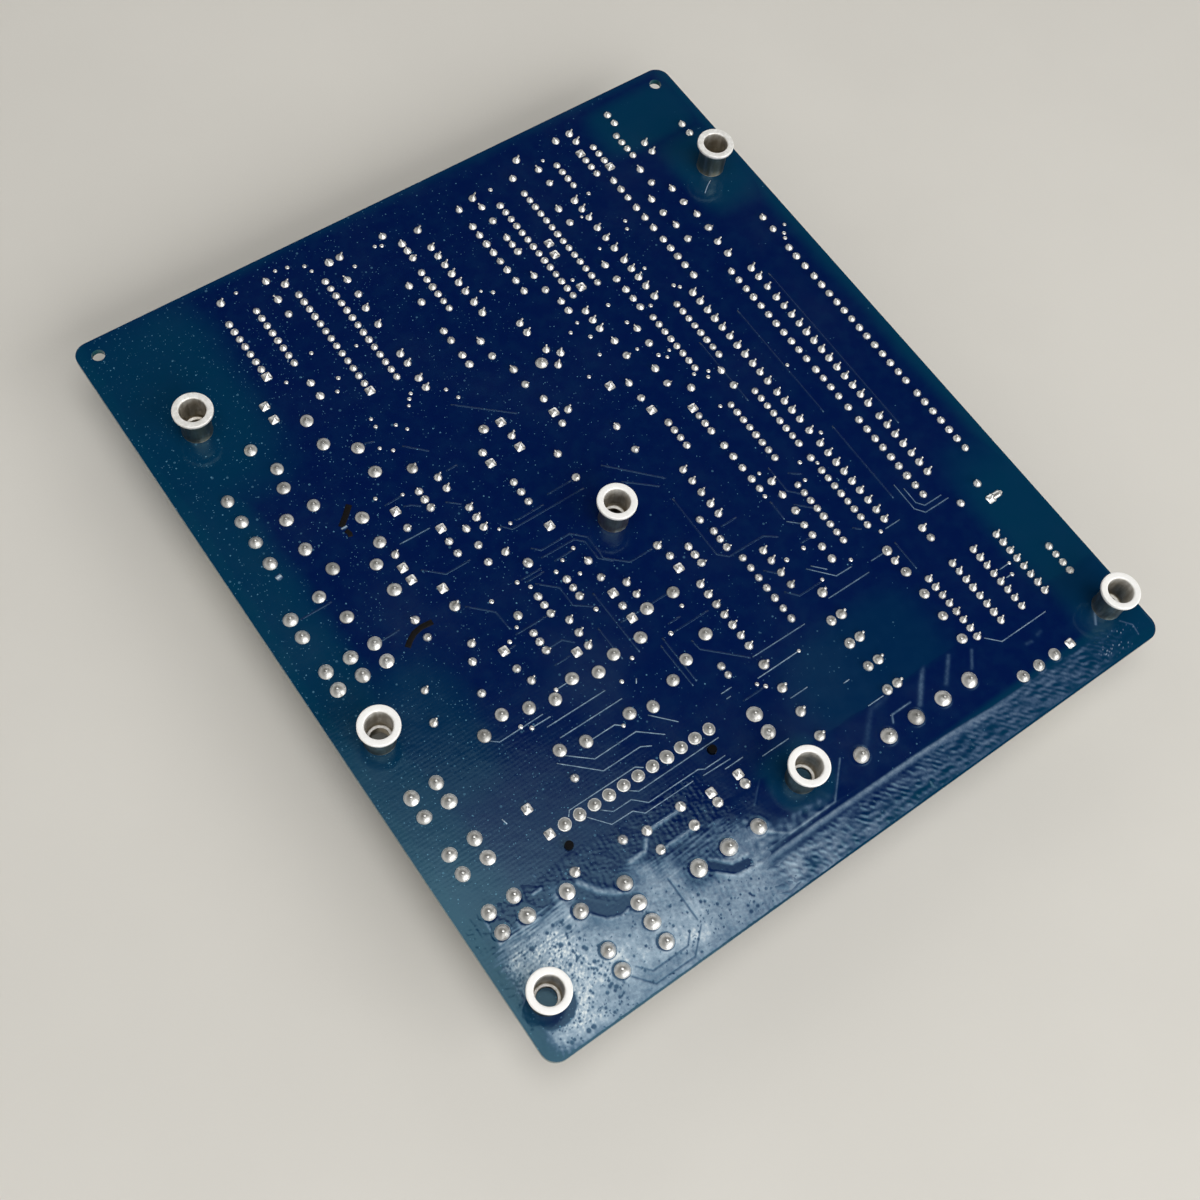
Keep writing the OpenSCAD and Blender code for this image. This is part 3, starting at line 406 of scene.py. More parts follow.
# each ring's share of the radius and of the height; the last rings' brightness, which paints shade that
# deepens towards the lead and a highlight on its cut end
coarseFillet = {"share": (1, 0.95, 0.58, 0), "level": (0, 0.16, 0.60, 1), "bright": (0.93, 0.62, 0.25, 1.0)}
fineFillet = {"share": (1, 0.985, 0.92, 0.72, 0.45, 0.17, 0), "level": (0, 0.12, 0.24, 0.48, 0.75, 0.96, 1),
              "bright": (0.84, 0.85, 0.78, 0.60, 0.36, 0.24, 0.16, 1.0)}

# which way the clipped lead leans over, in mm: first and second lead of a pair
leanRules = {
    "resistors_right": ((0.78, 0.10), (-0.50, 0.15)),
    "resistors_middle": ((0.78, 0.10), (-0.50, 0.15)),
    "resistors_left": ((0.78, 0.12), (-0.50, 0.12)),
    "diodes": ((0.75, 0.15), (-0.45, 0.20)),
    "power_resistors": ((0.85, 0.05), (-0.75, 0.05)),
    "disc_capacitors": ((0.30, -0.80), (-0.75, 0.55)),
    "film_capacitors": ((0.30, -0.75), (-0.65, 0.50)),
    "varistors": ((0.35, -0.7), (-0.3, 0.50)),
    "electrolytic_capacitors": ((0.4, -0.7), (-0.5, 0.50)),
    "transistors": ((0.60, -0.60), (-0.30, 0.25)),
    "status_leds": ((0.5, -0.4), (-0.30, 0.3)),
    "regulator": ((0.45, 0.4), (0.3, 0.45)),
}
# the chip at the right corner has long leads that lean: its box from the board's middle, in metres
driverPins = {"left": 0.045, "right": 0.074, "top": -0.055, "lean": (0.55, 0.15), "rise": 3, "end": 0.30}


def leanAt(centres):
    # each joint takes the lean of the nearest lead end; the first of two neighbours in a row leans
    # one way and the second the other
    places, leans = [], []
    for node, (one, two) in leanRules.items():
        ends = leadEnds(node)
        flat = node.startswith("resistors") or node in ("diodes", "power_resistors")
        ends = ends[rowOrder(ends, 0, 1) if flat else rowOrder(ends, 1, 0)]
        turn = np.arange(len(ends))
        second = turn % 3 > 0 if node == "transistors" else turn % 2 == 1
        places.append(ends)
        leans.append(np.where(second[:, None], two, one))
    gap = np.linalg.norm(centres[:, None] - np.concatenate(places)[None], axis=2)
    return np.concatenate(leans)[gap.argmin(1)] * (gap.min(1) < 0.5 * mm)[:, None]


def solderJoints(node):
    # a swollen foot that narrows to the lead, and the clipped lead leaning over as a short tube
    kind = jointKinds[node]
    foot, leadRadius, pad, segments = kind["radius"], kind["lead"], kind.get("pad", 0), kind["segments"]
    fillet = coarseFillet if node in ("chip_joints", "lead_joints") else fineFillet
    centres = jointCentres(node, reach=kind.get("reach", 1.45))
    x, y = (centres - boardCorner).T / inch
    count = len(centres)
    lean = rng.normal(0, 0.07, (count, 2)) + 0.05
    rise = kind["rise"] * rng.uniform(0.7, 1.2, (count, 1))
    size = rng.normal(1, 0.03, (count, 1))
    tall = kind["height"] * rng.normal(1, 0.08, (count, 1))
    ending = np.ones(count)
    if node in ("lead_joints", "power_joints"):
        lean = lean + leanAt(centres)
    if node == "chip_joints":
        right, up = centres.T
        leaning = (right > driverPins["left"]) & (right < driverPins["right"]) & (up < driverPins["top"])
        lean[leaning] += driverPins["lean"]
        rise[leaning] *= driverPins["rise"]
        # only the leaning leads keep the painted highlight on their cut end
        ending = np.where(leaning, 1.0, driverPins["end"])
    if node == "terminal_joints":           # smaller at the power header and the heat sink
        size[y > 1] *= 0.84
    if node == "lead_joints":               # larger round the relays at the near left
        size[(y < 1.5) & (x < 3.3)] *= 1.2
    radii = leadRadius + (foot - leadRadius) * np.array(fillet["share"])
    level = np.array(fillet["level"])
    if pad:
        radii = np.concatenate([[foot + pad, foot + pad - 0.04, foot + 0.05], radii[1:]])
        level = np.concatenate([[0, 0.07, 0.05], level[1:]])
    radii = np.hstack([radii * size, np.full((count, 2), leadRadius) * [0.90, 0.55]])
    heights = np.hstack([level * tall, tall + rise * 0.82, tall + rise])
    follow = np.clip((heights / tall) ** 2 * 0.18, 0, 0.18)
    follow[:, -2:] = [0.92, 1.0]
    angle = turns(segments)
    wave = 0.03 * np.cos(2 * angle + rng.uniform(0, 6.3, (count, 1)))
    wave = 1 + wave[:, None] * np.clip(1.2 - heights / tall, 0, 1)[..., None]
    shift = (lean[:, None] * follow[..., None])[:, :, None]
    points = turned(centres, radii[..., None] * wave, heights, angle, shift)
    darkTin = rng.uniform(size=count) < 0.05
    tone = np.where(darkTin, rng.uniform(0.60, 0.75, count), rng.uniform(0.90, 1.0, count))
    rings = radii.shape[1]
    tone = np.tile(tone[:, None], rings)
    tone[:, -len(fillet["bright"]):] *= fillet["bright"]
    tone[:, -1] *= ending
    if node in ("relay_joints", "header_joints"):
        tone[:, :-1] *= 0.86
    piece = ridedPiece(node.replace("_j", "J") + "Solder", points, ringFaces(count, rings, segments),
                       tinSolder, "solder", sharpAngle=60, tone=np.repeat(tone, segments))
    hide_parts(node)
    return centres


squarePad = {"height": 0.66, "rise": 0.40, "segments": 24,
             "radii": (1.12, 1.09, 0.80, 0.50, 0.27, 0.2295), "square": (1.0, 1.0, 0.9, 0.5, 0.0, 0.0),
             "level": (0.0, 0.20, 0.36, 0.62, 1.0, 1.0), "follow": (0, 0, 0, 0.05, 0.2, 1.0),
             "lean": (0.35, 0.2)}
# test pads that carry no lead: where they stand, from the board's middle, and their rise in mm
barePads = {"across": 27.5 * mm, "reach": 1.2 * mm, "from": 50 * mm, "to": 70 * mm, "rise": 0.05}
viaDome = {"radius": 0.55, "height": 0.26, "segments": 10, "tilt": (0.0, 0.45, 0.95, 1.35)}


def squareJoints():
    # radius = half / max(|cos|, |sin|) at the foot, which turns into a circle towards the lead
    centres = jointCentres("square_joints")
    count, segments, rings = len(centres), squarePad["segments"], len(squarePad["radii"])
    angle = turns(segments, 0.5)
    square = np.minimum(1 / np.maximum(np.abs(np.cos(angle)), np.abs(np.sin(angle))), 1.33)
    share = np.array(squarePad["square"])[:, None]
    outline = share * square + (1 - share)
    bare = np.abs(centres[:, 0] - barePads["across"]) < barePads["reach"]
    bare &= (centres[:, 1] > barePads["from"]) & (centres[:, 1] < barePads["to"])
    high = np.tile(squarePad["height"] * np.array(squarePad["level"]), (count, 1))
    high[:, -1] += np.where(bare, barePads["rise"], squarePad["rise"] * rng.uniform(0.7, 1.5, count))
    lean = np.where(bare[:, None], 0, rng.normal(0, 0.12, (count, 2)) + squarePad["lean"])
    shift = (lean[:, None] * np.array(squarePad["follow"])[:, None])[:, :, None]
    points = turned(centres, (np.array(squarePad["radii"])[:, None] * outline)[None], high, angle, shift)
    tone = np.repeat(rng.uniform(0.85, 1.0, count), rings * segments)
    piece = ridedPiece("squareJointSolder", points, ringFaces(count, rings, segments), tinSolder,
                       "solder", sharpAngle=38, tone=tone)
    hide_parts("square_joints")
    return centres


def viaDomes():
    # a low dome: radius = R cos(tilt), height = h sin(tilt)
    centres = jointCentres("filled_vias", above=0.2, reach=0.8)
    count, segments, rings = len(centres), viaDome["segments"], len(viaDome["tilt"])
    tilt = np.array(viaDome["tilt"])
    radius = rng.normal(1, 0.08, (count, 1, 1)) * viaDome["radius"] * np.cos(tilt)[:, None]
    points = turned(centres, radius, viaDome["height"] * np.sin(tilt)[None], turns(segments))
    tone = np.repeat(rng.uniform(0.8, 1.0, count), rings * segments)
    piece = ridedPiece("viaSolder", points, ringFaces(count, rings, segments), tinSolder,
                       "solder", tone=tone)
    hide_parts("filled_vias")
    return centres


allJoints = {node: solderJoints(node) for node in jointKinds}
print("round joints:", sum(len(c) for c in allJoints.values()))
print("square joints and vias:", len(squareJoints()), len(viaDomes()))


# the pale share across the section paints a highlight along the trace's crest
traceShape = {
    "every": 1.3 / 25.4, "film": (0, 0, 0.16, 0.66, 0.34, 0.04, 0),      # across the section
    "section": ((-0.5, -0.6), (-0.5, 0.0), (-0.28, 0.8), (0.0, 1.0), (0.28, 0.8), (0.5, 0.0), (0.5, -0.6)),
}


def closer(path, every):
    # more points along the path's straight stretches, no further apart than every
    p = np.array(path, float)
    parts = []
    for start, end in zip(p[:-1], p[1:]):
        steps = max(1, int(math.ceil(np.linalg.norm(end - start) / every)))
        parts.append(start + (end - start) * np.arange(steps)[:, None] / steps)
    return np.vstack(parts + [p[-1:]])


def sweepRibbons(paths, widths, heights):
    # a low rounded section carried along each path: at every point it is turned square to the
    # mean of the two neighbouring directions and widened by 1 / cos of half the bend
    section = np.array(traceShape["section"])
    allPoints, groups, start = [], [], 0
    for path, width, height in zip(paths, widths, heights):
        p = path * inch + boardCorner
        step = np.diff(p, axis=0)
        step /= np.linalg.norm(step, axis=1)[:, None]
        after = np.vstack([step, step[-1:]])
        mean = np.vstack([step[:1], step]) + after
        mean /= np.linalg.norm(mean, axis=1)[:, None]
        side = np.stack([-mean[:, 1], mean[:, 0]], 1)
        stretch = 1 / np.maximum((mean * after).sum(1), 0.5)
        flat = p[:, None] + side[:, None] * (section[:, :1] * width * mm) * stretch[:, None, None]
        up = np.broadcast_to(maskTop + section[:, 1] * height * mm, flat.shape[:2])
        allPoints.append(np.concatenate([flat, up[..., None]], 2).reshape(-1, 3))
        groups.append([faces + start for faces in ringFaces(1, len(p), len(section))])
        start += len(p) * len(section)
    return np.concatenate(allPoints), [np.concatenate(g)[:, ::-1] for g in zip(*groups)]


# paths in inches from the board's lower left corner
brightTraces = [
    [(1.31, 1.63), (1.35, 1.675), (2.05, 1.675), (2.11, 1.63)],
    [(1.44, 1.54), (1.58, 1.37), (1.80, 1.365), (1.88, 1.29), (2.40, 1.29)],
    [(1.57, 1.53), (1.66, 1.455), (1.85, 1.455), (1.96, 1.35), (2.50, 1.35), (2.55, 1.32), (2.78, 1.32)],
    [(1.88, 1.53), (1.95, 1.48), (2.68, 1.485), (2.83, 1.485)],
    [(2.50, 1.28), (2.80, 1.27)], [(2.70, 1.22), (2.90, 1.22)],
    [(1.62, 2.40), (2.25, 2.40)], [(1.66, 2.255), (2.33, 2.255)], [(1.505, 2.47), (1.70, 2.465)],
    [(1.13, 2.57), (1.20, 2.515), (1.66, 2.52)], [(1.89, 2.645), (2.03, 2.645)],
    [(1.85, 2.09), (2.13, 2.09), (2.19, 2.04)],
    [(1.60, 2.10), (1.80, 1.93), (2.25, 1.935), (2.45, 1.77)],
    [(1.50, 2.08), (1.80, 1.80), (2.20, 1.80), (2.29, 1.75)], [(2.43, 2.0), (2.62, 1.80)],
    [(3.05, 1.13), (3.35, 1.13)], [(3.60, 1.42), (3.80, 1.42)],
    [(3.11, 1.735), (3.16, 1.735)], [(3.47, 1.735), (3.95, 1.74)], [(3.10, 1.80), (3.22, 1.80)],
    [(4.26, 0.785), (4.47, 0.785)], [(4.10, 1.265), (4.17, 1.265)],
    [(4.15, 0.97), (4.33, 0.97)], [(1.82, 1.165), (2.18, 1.15)], [(1.84, 0.955), (2.17, 0.955)],
    [(1.50, 1.02), (1.68, 1.02), (1.76, 1.10)], [(5.50, 0.885), (5.62, 0.765), (6.18, 0.765)],
    [(6.10, 1.335), (6.22, 1.335)], [(6.10, 1.235), (6.17, 1.235)],
]
clearTraces = [
    [(3.56, 1.925), (4.17, 1.92)], [(4.52, 2.0), (5.02, 2.0)],
    [(4.533, 2.353), (4.73, 2.14), (4.912, 2.136)],
    [(4.589, 2.353), (4.70, 2.24)], [(5.11, 2.08), (5.264, 2.08)], [(5.447, 2.268), (5.63, 2.268)],
    [(5.826, 2.592), (5.826, 2.28), (5.897, 2.192), (6.19, 2.192)],
    [(5.883, 2.507), (5.883, 2.325), (5.94, 2.254), (6.15, 2.254)],
    [(4.687, 2.845), (4.80, 2.746)], [(1.505, 4.60), (1.828, 4.593)],
]
faintTraces = [
    [(1.66, 3.756), (1.86, 3.56), (1.875, 3.35)], [(1.74, 3.195), (1.83, 3.195)],
    [(1.885, 3.278), (2.22, 3.278)],
    [(2.04, 3.01), (2.205, 3.01), (2.29, 2.925)], [(2.01, 2.842), (2.18, 2.842)],
    [(2.32, 3.60), (2.485, 3.445), (2.487, 3.235), (2.64, 3.12)], [(2.71, 3.235), (2.726, 2.53)],
    [(2.544, 2.925), (2.558, 2.56)], [(2.923, 2.476), (2.937, 2.0)], [(2.98, 2.53), (2.99, 2.02)],
    [(3.19, 2.364), (3.204, 2.25), (3.542, 1.93)], [(3.106, 2.61), (3.247, 2.61)],
    [(3.106, 2.518), (3.50, 2.518)],
    [(3.914, 3.632), (3.914, 2.93), (4.0, 2.85), (4.405, 2.845), (4.52, 2.76)],
    [(4.125, 3.14), (4.31, 3.14)],
    [(4.21, 2.28), (4.31, 2.17), (4.575, 2.17)], [(4.18, 2.56), (4.32, 2.42)],
    [(4.687, 3.098), (4.687, 2.873)], [(4.659, 2.592), (4.786, 2.586)], [(5.025, 3.25), (5.137, 3.168)],
    [(5.73, 3.43), (5.73, 2.48)], [(5.43, 2.11), (5.43, 1.78)], [(5.18, 2.45), (5.25, 2.39)],
    [(3.225, 1.636), (3.464, 1.636)],
    [(2.49, 3.92), (2.56, 3.85), (2.88, 3.85), (3.0, 3.73), (3.0, 3.47), (3.18, 3.31), (3.44, 3.305)],
    [(2.515, 3.785), (2.88, 3.78), (2.955, 3.70), (2.955, 3.50), (3.06, 3.40)],
    [(2.234, 3.70), (2.459, 3.70)], [(2.262, 3.657), (2.459, 3.657)], [(2.60, 3.694), (2.797, 3.694)],
    [(2.38, 4.26), (2.46, 4.175), (3.27, 4.17)], [(2.54, 4.23), (2.85, 4.23)], [(2.94, 4.30), (3.22, 4.30)],
    [(1.525, 4.276), (1.694, 4.12), (1.96, 4.12)], [(3.55, 4.285), (3.99, 3.84)],
    [(3.61, 4.037), (3.89, 3.80)],
    [(0.78, 3.88), (1.05, 3.88)], [(0.366, 4.44), (0.689, 4.44)], [(2.08, 5.46), (2.264, 5.28)],
    [(2.714, 5.60), (3.2, 5.18)], [(1.744, 4.91), (1.81, 4.885), (1.884, 4.827)],
    [(1.80, 5.67), (1.885, 5.64)],
    [(2.28, 5.015), (2.405, 5.015)], [(2.095, 4.742), (2.208, 4.645)], [(1.603, 5.01), (1.80, 5.015)],
    [(4.90, 3.40), (4.90, 3.10), (5.00, 3.00)], [(5.76, 5.0), (5.76, 3.6)], [(6.32, 5.2), (6.32, 3.1)],
    [(5.20, 4.9), (5.20, 4.1)], [(4.86, 2.95), (5.02, 2.80), (5.02, 2.45)], [(2.75, 2.86), (3.35, 2.86)],
]
# pale flecks and scrapes, with their widths in mm
flecks = [
    ([(0.397, 4.895), (0.452, 4.905)], 1.5), ([(1.145, 5.015), (1.205, 5.015)], 0.75),
    ([(0.825, 1.93), (0.84, 1.87)], 0.45), ([(6.375, 6.355), (6.46, 6.42), (6.53, 6.46)], 0.40),
    ([(2.52, 2.30), (2.55, 2.34)], 0.35), ([(1.66, 6.82), (1.70, 6.87)], 0.35),
]
# paths, width and height in mm, and how pale; on the traces the paleness paints a highlight along the crest
traceKinds = [(brightTraces, 0.37, 0.070, 1.0), (clearTraces, 0.37, 0.070, 0.70),
              (faintTraces, 0.42, 0.045, 0.15)]
traceKinds += [([path], width, 0.06, 1.5) for path, width in flecks]


def layTraces():
    paths, widths, heights, shares = [], [], [], []
    for kindPaths, width, height, share in traceKinds:
        for path in kindPaths:
            paths.append(closer(path, traceShape["every"]))
            widths.append(width)
            heights.append(height)
            shares.append(share * rng.uniform(0.65, 1.15, len(paths[-1])))
    points, faces = sweepRibbons(paths, widths, heights)
    film = np.outer(np.concatenate(shares), traceShape["film"]).clip(0, 1)
    ridedPiece("traceRelief", points, faces, maskPainted, "solder_mask_laminate",
               film=film, copper=np.ones(len(points)))
    return len(paths)


print("traces:", layTraces())


def ripples(x, y, wavelength, waves, seed, stretch=(1, 1), turn=0.0):
    # a sum of cosines with random directions, lengths and phases, about -1 to 1
    pick = np.random.default_rng(seed)
    angle = pick.uniform(0, 2 * math.pi, waves)
    length = wavelength * pick.uniform(0.6, 1.5, waves)
    phase = pick.uniform(0, 2 * math.pi, waves)
    along = (x * math.cos(turn) + y * math.sin(turn)) / stretch[0]
    across = (y * math.cos(turn) - x * math.sin(turn)) / stretch[1]
    total = np.zeros_like(x)
    for a, l, p in zip(angle, length, phase):
        total += np.cos(2 * math.pi / l * (along * math.cos(a) + across * math.sin(a)) + p)
    return total / math.sqrt(waves * 0.75)


def step(value, low, high):
    t = np.clip((value - low) / (high - low), 0, 1)
    return t * t * (3 - 2 * t)


def within(x, y, ellipse, outer, inner):
    # 1 inside the inner share of the ellipse (centre, half sizes), 0 outside the outer share
    cx, cy, rx, ry = ellipse
    return step(-np.hypot((x - cx) / rx, (y - cy) / ry), -outer, -inner)


def pathDistance(x, y, path):
    # distance to the nearest of the path's straight stretches
    best = np.full_like(x, 1e9)
    for (x0, y0), (x1, y1) in zip(path[:-1], path[1:]):
        dx, dy = x1 - x0, y1 - y0
        t = np.clip(((x - x0) * dx + (y - y0) * dy) / (dx * dx + dy * dy), 0, 1)
        best = np.minimum(best, np.hypot(x - x0 - t * dx, y - y0 - t * dy))
    return best


def ridge(x, y, path, halfWidth):
    return np.exp(-(pathDistance(x, y, path) / halfWidth) ** 2)


def patches(x, y, ellipses):
    # soft ellipses (centre, half sizes, strength), joined as 1 - product of (1 - each)
    rest = np.ones_like(x)
    for *ellipse, strength in ellipses:
        rest *= 1 - strength * within(x, y, ellipse, 1.25, 0.45)
    return 1 - rest


def pits(x, y, count, box, size, seed):
    # small round dips with soft rims, at random places in the box
    pick = np.random.default_rng(seed)
    x0, x1, y0, y1 = box
    total = np.zeros_like(x)
    for cx, cy, r in zip(pick.uniform(x0, x1, count), pick.uniform(y0, y1, count),
                         size * pick.lognormal(0, 0.45, count)):
        near = (np.abs(x - cx) < 2 * r) & (np.abs(y - cy) < 2 * r)
        total[near] = np.maximum(total[near], within(x[near], y[near], (cx, cy, r, r), 1.2, 0.6))
    return total


# all in inches
boardEdge = {"corner": 3.8 / 25.4, "margin": 0.008, "width": (boardHigh.x - boardLow.x) / inch}
# the coat is two pieces that meet at a seam: box in inches (left, right, near, far) and pitch in mm;
# levels in mm over the mask and below it, and over how many inches the border fades
coatPieces = {"coatLeft": ((0.0, 2.5, 0.008, 1.48), 0.22), "coatRight": ((2.5, 7.0, 0.008, 1.05), 0.26)}
coatLevel = {"lift": 0.032, "lowest": -0.026, "sunk": 0.03, "skirt": 0.06, "fan": 0.4,
             "fade": 0.012, "slope": 0.020}


def cornerInset(y):
    # how far the board's rounded corner lies inside its side edge, at a height over the near edge
    reach = boardEdge["corner"] - np.minimum(y, boardEdge["corner"])
    return boardEdge["corner"] - np.sqrt(boardEdge["corner"] ** 2 - reach ** 2) + boardEdge["margin"]


def layCoat(name):
    # a height field over the box, in inches, that sinks into the board at its border except at
    # the seam; a fan of triangles to one point inside the board closes it from below
    (x0, x1, y0, y1), pitch = coatPieces[name]
    columns = int((x1 - x0) * inch / (pitch * mm)) + 1
    rows = int((y1 - y0) * inch / (pitch * mm)) + 1
    level = coatLevel
    share, y = np.meshgrid(np.linspace(0, 1, columns), np.linspace(y0, y1, rows))
    start = np.maximum(x0, cornerInset(y))
    end = np.minimum(x1, boardEdge["width"] - cornerInset(y))
    x = start + (end - start) * share
    height, fluxSheenShare, copperShare, cover = nearShape(x, y)
    rim = np.minimum(y - y0, y1 - y)
    rim = np.minimum(rim, np.where(x0 < 1, x - start, end - x))
    shown = cover * step(rim, 0.0, level["fade"])
    cover = cover * step(rim, 0.0, level["slope"])
    over = level["lift"] + np.maximum(height, level["lowest"])
    z = maskTop + mm * (cover * over - (1 - cover) * level["sunk"])
    seam = (share > 1 - 1e-9) if x0 < 1 else (share < 1e-9)
    z = np.where((rim < 1e-9) & ~seam, maskTop - level["skirt"] * mm, z)
    top = np.stack([boardLow.x + x * inch, boardLow.y + y * inch, z], -1).reshape(-1, 3)
    middle = [*(boardCorner + np.array([x0 + x1, y0 + y1]) / 2 * inch), maskTop - level["fan"] * mm]
    index = np.arange(rows * columns).reshape(rows, columns)
    quads = np.stack([index[:-1, :-1], index[:-1, 1:], index[1:, 1:], index[1:, :-1]], -1).reshape(-1, 4)
    border = np.concatenate([index[0, :-1], index[:-1, -1], index[-1, :0:-1], index[:0:-1, 0]])
    fan = np.stack([np.roll(border, -1), border, np.full(len(border), rows * columns)], -1)
    film, copper = (np.append(np.clip(v * shown, 0, 1).ravel(), 0) for v in (fluxSheenShare, copperShare))
    ridedPiece(name, np.vstack([top, middle]), [quads, fan], maskPainted, "solder_mask_laminate",
               sharpAngle=70, film=film, copper=copper)
    return len(quads) + len(fan)


# how far the mask stays open round the large joints, in mm
jointGaps = {"tab_joints": 0.30, "terminal_joints": 0.22, "relay_joints": 0.14, "header_joints": 0.14}
# the stretch over which the drawings blend, how far from the near edge joints get a ring, and how far
# the ring lies to the left and the far side of its joint (inches)
ringPlace = {"blend": (2.38, 2.62), "reach": 1.6, "left": 0.008, "far": 0.007}


def nearShape(x, y):
    # the two drawings blend into each other over a short stretch, and every large joint in them
    # stands in a dark ring where the mask is open, with a painted highlight on the near side of its lip
    turn = step(x, *ringPlace["blend"])
    drawings = zip(leftShape(x, y), rightShape(x, y))
    height, film, copper, cover = (a * (1 - turn) + b * turn for a, b in drawings)
    for node, gap in jointGaps.items():
        outer = (jointKinds[node]["radius"] + jointKinds[node].get("pad", 0) + gap) / 25.4
        for cx, cy in (allJoints[node] - boardCorner) / inch:
            if cy > ringPlace["reach"]:
                continue
            away = np.hypot(x - cx + ringPlace["left"], y - cy - ringPlace["far"])
            ring = step(-away, -outer - 0.008, -outer + 0.004)
            film *= 1 - 0.85 * ring
            lip = np.exp(-((away - outer - 0.012) / 0.010) ** 2)
            height += 0.016 * lip * cover - 0.045 * ring
            # painted highlight on the lip, on the side towards the near edge
            film += 0.22 * lip * np.clip((cy - y) / away, 0, 1) ** 2 * step(-y, -1.2, -0.9)
    return height, film, copper, cover


# patches are centre, half sizes and strength; bands are path, half width and strength; the film patches
# are dried flux whose paleness is partly painted glare, and the pale bands are raised edges with a painted
# highlight
leftCoat = {
    "film": [(0.60, 0.45, 0.50, 0.52, 0.62), (0.95, 0.25, 0.62, 0.32, 0.40), (1.15, 0.48, 0.42, 0.30, 0.40),
             (1.62, 0.50, 0.26, 0.44, 0.42), (2.05, 0.25, 0.66, 0.30, 0.45), (0.50, 0.90, 0.55, 0.20, 0.36),
             (2.1, 0.78, 0.55, 0.16, 0.16), (0.33, 0.17, 0.26, 0.16, 0.40), (0.85, 1.02, 0.10, 0.22, 0.24),
             (1.5, 0.85, 0.2, 0.2, 0.22), (2.4, 0.55, 0.25, 0.22, 0.3)],
    "paleBands": [([(1.05, 1.12), (1.15, 0.97), (1.27, 0.87), (1.33, 0.84)], 0.030, 0.55),
                  ([(0.96, 0.86), (1.08, 0.72), (1.20, 0.68), (1.32, 0.71)], 0.014, 0.35),
                  ([(2.08, 0.52), (2.22, 0.40), (2.45, 0.375)], 0.018, 0.5),
                  ([(2.10, 0.66), (2.24, 0.535), (2.40, 0.51)], 0.014, 0.4),
                  ([(1.52, 1.02), (1.68, 1.02), (1.75, 1.10)], 0.022, 0.55),
                  ([(1.85, 1.15), (2.15, 1.15)], 0.020, 0.5), ([(1.86, 0.95), (2.15, 0.95)], 0.020, 0.5),
                  ([(0.70, 1.42), (0.76, 1.41), (0.78, 1.37)], 0.014, 0.6),
                  ([(0.68, 1.25), (0.76, 1.25)], 0.014, 0.6),
                  ([(0.22, 1.06), (0.62, 1.06)], 0.012, 0.5), ([(0.22, 1.06), (0.225, 1.45)], 0.014, 0.45),
                  ([(0.35, 1.43), (0.42, 1.40)], 0.014, 0.5), ([(0.84, 1.10), (0.84, 0.82)], 0.03, 0.3),
                  ([(0.44, 1.12), (0.46, 1.02)], 0.02, 0.5)],
    "darkBands": [([(0.98, 0.94), (1.10, 0.80), (1.20, 0.755), (1.30, 0.77)], 0.055),
                  ([(2.08, 0.60), (2.21, 0.47), (2.36, 0.445)], 0.040)],
    "grooves": [[(0.95, 0.25), (1.10, 0.07), (1.50, 0.065), (1.70, 0.25)], [(1.70, 0.30), (1.70, 0.72)],
                [(1.04, 0.28), (1.14, 0.17), (1.50, 0.17), (1.58, 0.25)]],
    "foot": (0.292, 0.422, 0.21),           # clean mask round the corner spacer
    # count, box, mean radius, seed
    "pits": [(300, (0.15, 0.85, 0.05, 0.95), 0.0085, 7), (240, (0.3, 2.4, 0.02, 0.75), 0.0070, 8),
             (26, (0.40, 0.95, 0.12, 0.55), 0.0120, 9), (60, (1.2, 2.4, 0.08, 0.45), 0.0085, 10)],
    "thinner": [(0.75, 0.20, 0.22, 0.14, 0.30)], "thicker": [(1.50, 0.16, 0.30, 0.12, 0.45)],
}


